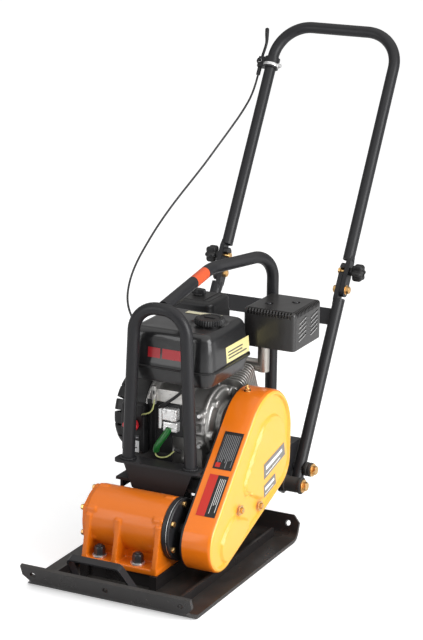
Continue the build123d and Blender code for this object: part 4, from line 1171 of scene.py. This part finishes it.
class COMPACTOR_OT_air_cleaner(MakesPiece, bpy.types.Operator):
    """Air cleaner: a moulded cover with a step round its top, and a wing knob"""

    bl_idname = "compactor.air_cleaner"
    bl_label = "Air cleaner"

    def execute(self, context):
        low, high = span("air_cleaner_cover")
        middle, half = (low + high) / 2, (high - low) / 2
        where = place((middle[0], middle[1], low[2]), (0, 0, 1))
        tall = high[2] - low[2]
        outline = rounded(half[0], half[1], 22, 12, 4)
        levels = [(1, 0), (0, 1), (0, 4), (1.4, 5), (1.4, tall * 0.55), (3.5, tall * 0.60),
                  (4.0, tall * 0.85)]
        levels += [(4 + i, h) for i, h in edge(9, 0, tall - 1.5, 6)]
        levels += [(16, tall - 1.5), (17.5, tall), (21.8, tall)]
        shells = [slab(outline, levels, where)]
        for side in (-1, 1):
            x = middle[0] + side * 30
            start, end = (x - 2, low[1] + 20, high[2] - 1), (x + 2, high[1] - 20, high[2] + 1.6)
            shells.append(box(start, end, 1.8, 1))
        piece("air_cleaner_shell", shells, finishes["plastic"], "frame", ("air_cleaner_cover",))
        knob_low, knob_high = span("air_cleaner_knob")
        knob = (knob_low + knob_high) / 2
        on_top = place((knob[0], knob[1], knob_low[2]), (0, 0, 1))

        def winged(a):
            return 9 + 8 * np.abs(np.cos(a)) ** 6

        shells = [block(disc(12.5, 48), 0, 4, on_top, 1),
                  slab(disc(winged, 96), [(0, 3), (0, 12), (1, 14), (3, 15), (6, 15)], on_top)]
        piece("air_cleaner_wing_knob", shells, finishes["plastic"], "cleaner_knob", ("air_cleaner_knob",))
        return {"FINISHED"}


class COMPACTOR_OT_starter(MakesPiece, bpy.types.Operator):
    """Recoil cover: a dish with slots that run over its rim"""

    bl_idname = "compactor.starter"
    bl_label = "Recoil cover"

    def execute(self, context):
        low, high = span("recoil_cover")
        middle = (low + high) / 2
        deep, radius = high[0] - low[0], (high[2] - low[2]) / 2
        facing = place((high[0], middle[1], middle[2]), (-1, 0, 0), (0, 1, 0))
        levels = [(0, 0), (0, deep - 12)] + edge(12, 0, deep, 7)[1:]
        levels += [(26, deep), (28, deep - 2), (60, deep - 2), (62, deep), (78, deep)]
        count = context.scene.compactor_sizes.recoil_slots
        inner = slab(disc(radius - 3, 72), [(0, -4), (0, deep - 12), (10, deep - 3.5), (40, deep - 3.5)],
                     facing)
        cutters = [inner]
        for k in range(count):
            a = (k + 0.5) * TAU / count
            along, over = cut([0, math.cos(a), math.sin(a)]), cut([0, -math.sin(a), math.cos(a)])
            spot = middle + along * (radius - 14)
            spot[0] = high[0] - 9
            slot = spot, cut([along, over, [-1, 0, 0]])
            cutters.append(block(rounded(24, 3.2, 3, 5), 0, deep, slot, 0.4))
        dish = pierced("recoil_dish", [slab(disc(radius, 108), levels, facing)], cutters)
        piece("recoil_dish", dish, finishes["plastic"], "frame", ("recoil_cover",), sharp=30)
        return {"FINISHED"}


FIN_REACH = 70.0
BORE_LEAN = math.radians(25)
COVER_TURN, COVER_BOSS_RADIUS, COVER_BOLT_RADIUS = math.radians(10), 68, 66
SPIGOTS = ((30, 262), (58, 262), (30, 330), (58, 330))


class COMPACTOR_OT_engine(MakesPiece, bpy.types.Operator):
    """Engine: castings with filleted ribs, a finned cylinder and head, a rocker cover and bolts"""

    bl_idname = "compactor.engine"
    bl_label = "Engine"

    def execute(self, context):
        crank = (span("side_cover")[0] + span("side_cover")[1])[1:] / 2
        where = place((0, *crank), (0, math.cos(BORE_LEAN), math.sin(BORE_LEAN)))
        case_low, case_high = span("crankcase")
        cover_high = span("side_cover")[1][0]
        shells = [merged("crankcase")]
        for y in (-52, -26, 26, 52):
            shells.append(box((case_low[0] + 8, crank[0] + y - 2.5, case_low[2] + 4),
                              (case_high[0] - 2, crank[0] + y + 2.5, crank[1] - 46), 2, 1))
        for y, z in round_of(crank, 77, np.radians([150, 168, 186, 204, 222])):
            shells.append(rod((case_low[0] + 80, y, z), (case_high[0] - 2, y, z), 4.5, 1))
        for x in (case_low[0] + 80, case_high[0] - 12):
            rim = place((x, *crank), (1, 0, 0), (0, 1, 0))
            shells.append(block(disc(80, 96), 0, 8, rim, 2))
        for x in (28, 44, 60):
            shells.append(box((x - 2, crank[0] - 78, case_low[2] + 6), (x + 2, crank[0] - 40, crank[1] - 30),
                              1.8, 1))
        for x, z in (*SPIGOTS, (-10, 240), (20, 225)):
            shells.append(rod((x, crank[0] - 84, z), (x, crank[0] - 40, z), 6.5, 1))
        piece("crankcase_casting", cast("crankcase_casting", shells, 2.2, 4), finishes["engine_grey"],
              "frame", ("crankcase",))
        cover = [merged("side_cover")]
        flat = place((case_high[0], *crank), (1, 0, 0), (0, 1, 0))
        angles = COVER_TURN + np.arange(6) * TAU / 6
        for y, z in round_of(crank, COVER_BOSS_RADIUS, angles):
            cover.append(rod((case_high[0], y, z), (case_high[0] + 14, y, z), 10, 2))
        cover.append(block(disc(46, 64), 0, 19, flat, 3))
        piece("side_cover_casting", cast("side_cover_casting", cover, 1.9, 4), finishes["aluminium"], "frame",
              ("side_cover",))
        spots = [(cover_high - 10, y, z) for y, z in round_of(crank, COVER_BOLT_RADIUS, angles)]
        feet = [(x, y, case_low[2] + 8) for x in (-52, 52) for y in (41, 215)]
        heads = bolts_on(spots, (1, 0, 0), 10.4, 6) + bolts_on(feet, (0, 0, 1), 12.1, 6, 9, 1.2)
        heads += bolts_on([(x, crank[0] - 84, z) for x, z in SPIGOTS], (0, -1, 0), 8, 4)
        piece("engine_bolt_heads", heads, finishes["steel"], "frame", ("engine_bolts",))
        self.add_fins(context, where)
        return {"FINISHED"}

    def add_fins(self, context, where):
        """Thin fins along the cylinder's axis, upright fins on the head, and the rocker cover."""
        count = context.scene.compactor_sizes.fin_count
        beside = moved(where, FIN_REACH - 48)
        shells = [block(rounded(36, 40, 14, 8), 78, 142, where, 1),
                  block(rounded(26, 30, 14, 8), 78, 142, moved(where, 52), 1)]
        for k in range(count):
            s = 82 + k * 57.0 / (count - 1)
            shells.append(block(rounded(FIN_REACH, 49, 16, 8), s, s + 2.4, beside, 0.9))
        piece("cylinder_fins", shells, finishes["aluminium"], "frame", ("cylinder",))
        head = [block(rounded(40, 42, 10, 6), 142, 166, where, 2)]
        for x in np.linspace(-44, 44, 9):
            head.append(block(rounded(1.3, 46, 1.2, 4), 143, 164, moved(where, x), 0.8))
        for x, y in ((-33, -34), (33, -34), (-33, 34), (33, 34)):
            head.append(block(disc(8, 24), 142, 165.5, moved(where, x, y), 1))
        piece("cylinder_head_casting", head, finishes["aluminium"], "frame", ("cylinder_head",))
        lid = [slab(rounded(39, 39, 12, 8, 2), [(0, 166), (0, 168.5), (2.5, 169.5), (3.5, 180)]
                    + [(3.5 + i, h) for i, h in edge(8, 0, 190, 5)] + [(16, 190), (18, 188), (30, 188)],
                    where)]
        for x, y in ((-31, -31), (31, -31), (-31, 31), (31, 31)):
            lid += hex_head(moved(where, x, y, 170), 9, 5, 6.5, 1)
        piece("rocker_cover_pressing", lid, finishes["engine_grey"], "frame", ("rocker_cover",))


SWITCH_SPOT = (-84.0, 300.0)
# short leads at the front of the engine: name and route in millimetres
LEADS = (
    ("switch_lead",
     [(-62, 8, 324), (-56, 2, 330), (-44, 0, 332), (-34, 2, 340), (-32, 6, 352), (-34, 12, 362)]),
    ("alarm_lead",
     [(-24, 2, 254), (-26, 0, 246), (-18, -3, 240), (-2, -4, 241), (12, -2, 248), (22, 2, 260)]),
)
LEAD_RADIUS = 1.5


class COMPACTOR_OT_engine_front(MakesPiece, bpy.types.Operator):
    """Front of the engine: the switch panel, the oil alarm unit with its sleeve and leads, and brackets"""

    bl_idname = "compactor.engine_front"
    bl_label = "Engine front"

    def execute(self, context):
        low, high = span("control_panel")
        middle, half = (low + high) / 2, (high - low) / 2
        facing = place((middle[0], high[1], middle[2]), (0, -1, 0), (1, 0, 0))
        deep = high[1] - low[1]
        shells = [slab(rounded(half[0], half[2], 7, 6, 1),
                       [(0, 0), (0, deep - 3), (1, deep - 1), (3, deep), (5, deep), (6, deep - 1.2),
                        (20, deep - 1.2)],
                       facing)]
        piece("switch_panel", shells, finishes["plastic"], "frame", ("control_panel",))
        tag = label("panel_tag", (0.80, 0.81, 0.82), (0.10, 0.10, 0.11), 3, 0.35, 0.2, 0.9, 0.15, 0.85)
        lines = label("panel_lines", (0.045, 0.045, 0.05), (0.42, 0.42, 0.44), 3, 0.4, 0.1, 1.0, 0.1, 0.9)
        front = low[1] - 0.2
        sticker("panel_white_tag",
                [(-103, front, 238), (-69, front, 238), (-69, front, 264), (-103, front, 264)], tag)
        sticker("panel_grey_lines",
                [(-103, front, 268), (-69, front, 268), (-69, front, 277), (-103, front, 277)], lines)
        switch_low, switch_high = span("engine_switch")
        x, z = SWITCH_SPOT
        out = place((x, switch_high[1] - 11, z), (0, -1, 0), (1, 0, 0))
        tall = switch_high[1] - 11 - switch_low[1]
        shells = [slab(disc(15, 64), [(1, 0), (0, 1), (0, tall * 0.5), (1.5, tall * 0.58), (8, tall * 0.6)],
                       out),
                  block(rounded(18, 6, 5, 8), tall * 0.4, tall, out, 2)]
        piece("switch_knob", shells, finishes["red"], "engine_switch", ("engine_switch",))

        sheet = [box((-60, 27, 234), (2, 30, 356), 5, 1), box((-30, 21, 284), (40, 27, 356), 4, 1.5),
                 box((-112, 26, 198), (2, 29, 240), 5, 1)]
        for x in (-52, -40):
            sheet.append(box((x, 25, 240), (x + 4, 28, 350), 1.9, 1))
        piece("front_shroud_sheet", sheet, finishes["plastic"], "frame", ())
        unit = [block(rounded(17, 13, 3, 5, 1), 0, 18, place((6, 21, 336), (0, -1, 0)), 2),
                box((-10, 4, 298), (24, 22, 319), 3, 2), box((-24, 10, 300), (-15, 22, 350), 3, 1.5)]
        for z_low in (302, 308, 314):
            unit.append(box((-8, 2, z_low), (22, 6, z_low + 2.5), 1.2, 0.8))
        unit += bolts_on([(-4, 3.5, 343), (17, 3.5, 343), (14, 3.5, 329)], (0, -1, 0), 8, 4, 6.5, 1)
        piece("oil_alarm_unit", unit, finishes["steel"], "frame", ())
        band = [box((-44, 18, 358), (36, 24, 386), 3, 1), box((-40, 12, 352), (-32, 22, 392), 2, 1)]
        band += bolts_on([(-34, 17, 378), (24, 17, 378)], (0, -1, 0), 9, 4, 7, 1)
        piece("front_shroud_band", band, finishes["aluminium"], "frame", ())
        strap = bow(cut([(34, 14, 392), (18, 10, 376), (0, 8, 362), (-22, 12, 346)]) * MM) / MM
        piece("front_strap", [tube(strap, 3.2, 12, (0, 1, 0))], finishes["plastic"], "frame", ())
        sleeve = bow(cut([(6, 4, 306), (2, 0, 296), (-6, -3, 284), (-14, -4, 272), (-22, -2, 260),
                          (-24, 2, 252)]) * MM) / MM
        piece("alarm_sleeve", [tube(sleeve, 7.0, 20, (0.2, 1, 0.1))], finishes["green"], "frame", ())
        for name, points in LEADS:
            line = bow(cut(points) * MM)
            cover = tube(line / MM, LEAD_RADIUS, 12, (0.2, 1, 0.1))
            made = piece(name, [cover], finishes["wire"], "frame", ())
        ends = [rod((20, 4, 262), (34, 4, 258), 5, 1), rod((-60, 7, 322), (-56, 6, 327), 3, 0.6)]
        piece("lead_ends", ends, finishes["plastic"], "frame", ())
        return {"FINISHED"}


CLAMP_RADIUS = 18.5
HANDLE_LEAN = math.radians(30)
UP_LEG = (0, math.sin(HANDLE_LEAN), math.cos(HANDLE_LEAN))
PIVOTS = ((354.6, 132), (304, 110))
MOUNTS_X, MOUNTS_Y = (-76, 76), (60, 205)


class COMPACTOR_OT_handle_parts(MakesPiece, bpy.types.Operator):
    """Star knobs, plated bolts, rubber bushings and the welds of the frame and handle"""

    bl_idname = "compactor.handle_parts"
    bl_label = "Handle parts"

    def execute(self, context):
        for side, name in ((-1, "left"), (1, "right")):
            low, high = span("clamp_knob_" + name)
            spot = (low + high) / 2
            spot[0] = low[0] if side > 0 else high[0]
            out = place(spot, (side, 0, 0), UP_LEG)
            wide = high[0] - low[0]

            def star(a):
                return 17.5 + 3.4 * np.cos(6 * a)

            shells = [block(disc(9, 40), 0, 11, out, 1),
                      slab(disc(star, 144),
                           [(5, 8), (2, 9.5), (0, 13), (0, wide - 6), (2, wide - 2), (5, wide),
                            (9, wide), (10, wide - 1.5), (15, wide - 1.5)], out)]
            piece("star_knob_" + name, shells, finishes["plastic"], "knob_" + name, ("clamp_knob_" + name,))
        heads = []
        bush = []
        for side in (-1, 1):
            heads += bolts_on([(side * 187, y, z) for y, z in PIVOTS], (side, 0, 0), 18.2, 8, 15, 3)
            heads += bolts_on([(side * 135, y, z) for y, z in PIVOTS], (-side, 0, 0), 18.2, 7)
            for (y, z), start, radius in zip(PIVOTS, (171, 141), (16, 19)):
                shape = [(1.5, 0), (0, 1.5), (0, 6), (1.8, 8), (1.8, 187 - start - 8), (0, 187 - start - 6),
                         (0, 187 - start - 1.5), (1.5, 187 - start)]
                bush.append(slab(disc(radius, 64), shape,
                                 place((side * start, y, z), (side, 0, 0), (0, 1, 0))))
        piece("pivot_bolts", heads, finishes["zinc"], "frame", ("bracket_bolts",))
        piece("pivot_bushings", bush, finishes["rubber"], "frame", ("rubber_bushings",))
        low, high = span("fold_bolts")
        middle = (low + high) / 2
        heads = []
        for side in (-1, 1):
            heads += bolts_on([(side * 167, middle[1], middle[2])], (side, 0, 0), 15.6, 8, 11, 1)
            heads += bolts_on([(side * 145, middle[1], middle[2])], (-side, 0, 0), 15.6, 8)
            heads.append(rod((side * 136, middle[1], middle[2]), (side * 176.5, middle[1], middle[2]), 5))
        piece("fold_bolt_heads", heads, finishes["zinc"], "lower_handle", ("fold_bolts",))
        self.add_mounts()
        self.add_welds()
        self.add_lever()
        return {"FINISHED"}

    def add_lever(self):
        """Throttle lever: a blade that bows out from its hub and thickens to a rounded tip, and its bolts."""
        hub = cut([-184, 833.1, 960.8])
        axis = cut([0, -math.cos(HANDLE_LEAN), math.sin(HANDLE_LEAN)])
        high = span("throttle_lever")[1]
        way = [hub, hub + (1, 4, 14), hub + (5, 9, 30), hub + (7, 15, 46), hub + (3, 23, 62),
               (hub[0], high[1] - 6, high[2] - 5)]
        path = bow(cut(way) * MM) / MM
        along = np.linspace(0, 1, len(path))
        width = 3.4 + 1.6 * smooth(0.5, 1.0, along)
        round_tip = np.sqrt(np.clip(1 - ((along - 0.97) / 0.03).clip(0) ** 2, 0.05, 1))
        shells = [tube(path, width * round_tip, 16, (1, 0, 0)), rod(hub - axis * 4, hub + axis * 5, 8.5, 1.2)]
        piece("throttle_blade", shells, finishes["plastic"], "throttle_lever", ("throttle_lever",))
        grip = cut([span("throttle_clamp")[1][0] - CLAMP_RADIUS, 829.4, 954.3])
        band = [block(disc(CLAMP_RADIUS + 0.8, 56), -3.5, 3.5, place(grip, UP_LEG), 0.8)]
        band += bolts_on([grip + (CLAMP_RADIUS, 0, 0)], (1, 0, 0), 10, 6, 7, 1.2)
        piece("clamp_band", band, finishes["steel"], "upper_handle", ())
        head = bolts_on([hub + axis * 5], axis, 9, 4, 6.5, 1)
        piece("lever_bolt", head, finishes["steel"], "throttle_lever", ())

    def add_mounts(self):
        """Rubber mounts: a waisted barrel between two steel plates."""
        low, high = span("shock_mounts")
        tall = high[2] - low[2]
        barrels = []
        for x in MOUNTS_X:
            for y in MOUNTS_Y:
                where = place((x, y, low[2]), (0, 0, 1))
                barrels.append(slab(disc(20, 56), [(0, 3), (0.5, 4), (3, 10), (4, tall / 2), (3, tall - 10),
                                                   (0.5, tall - 4), (0, tall - 3)], where))
                barrels += numbered([block(disc(20, 56), 0, 3, where, 0.5),
                                     block(disc(20, 56), tall - 3, tall, where, 0.5)], 1)
        piece("mount_barrels", barrels, [finishes["rubber"], finishes["dark_steel"]], "frame",
              ("shock_mounts",))

    def add_welds(self):
        """Weld beads: rings whose thickness ripples along them, at the feet of the hoop and the arch."""
        turns = np.linspace(0, TAU, 73)
        beads = []
        shelf = span("front_hoop")[0][2]
        bed = span("lifting_arch")[0][2]
        for x, y, z in ((-75, -28, shelf), (75, -28, shelf), (72, 372, bed)):
            path = np.column_stack([x + 15.2 * np.cos(turns), y + 15.2 * np.sin(turns), np.full(73, z + 1.6)])
            beads.append(tube(path, 2.6 + 0.35 * np.sin(turns * 26), 10, (0, 0, 1)))
        piece("foot_welds", beads, finishes["black"], "frame", ())
        along = np.linspace(0, 1, 60)
        beads = []
        for start, end in (((-86, -229, 12), (-96, -250, 60)), ((50, -229, 12), (21, -250, 60))):
            path = cut(start) + (cut(end) - cut(start)) * along[:, None]
            beads.append(tube(path[:18], 2.2 + 0.4 * np.sin(along[:18] * 150), 8, (1, 0, 0)))
        for s in (-1, 1):
            path = np.column_stack([np.full(60, s * 144.6), -225 + 450 * along, np.full(60, 8.6)])
            beads.append(tube(path, 2.0 + 0.35 * np.sin(along * 420), 8, (0, 0, 1)))
        piece("plate_welds", beads, finishes["plate"], "frame", ())


OPERATORS = (COMPACTOR_OT_finishes, COMPACTOR_OT_cables, COMPACTOR_OT_exciter, COMPACTOR_OT_belt_guard,
             COMPACTOR_OT_fuel_tank, COMPACTOR_OT_muffler, COMPACTOR_OT_air_cleaner, COMPACTOR_OT_starter,
             COMPACTOR_OT_engine, COMPACTOR_OT_engine_front, COMPACTOR_OT_handle_parts, COMPACTOR_OT_stage)


class COMPACTOR_PT_pieces(bpy.types.Panel):
    """Lists the operators in the order that builds the object"""

    bl_idname = "COMPACTOR_PT_pieces"
    bl_label = "Plate compactor"
    bl_space_type = "VIEW_3D"
    bl_region_type = "UI"
    bl_category = "Compactor"

    def draw(self, context):
        for operator in OPERATORS:
            self.layout.operator(operator.bl_idname)


SETTINGS = {"compactor_colours": CompactorColours, "compactor_sizes": CompactorSizes,
            "compactor_stage": CompactorStage}


def register():
    """Register the settings, the operators and the panel."""
    for name, group in SETTINGS.items():
        bpy.utils.register_class(group)
        setattr(bpy.types.Scene, name, PointerProperty(type=group))
    for kind in (*OPERATORS, COMPACTOR_PT_pieces):
        bpy.utils.register_class(kind)


def unregister():
    """Take everything that register() added out again."""
    for kind in (COMPACTOR_PT_pieces, *reversed(OPERATORS)):
        bpy.utils.unregister_class(kind)
    for name, group in SETTINGS.items():
        delattr(bpy.types.Scene, name)
        bpy.utils.unregister_class(group)


def main():
    """Register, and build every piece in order."""
    register()
    for operator in OPERATORS:
        part, name = operator.bl_idname.split(".")
        getattr(getattr(bpy.ops, part), name)()


if __name__ == "__main__":
    main()
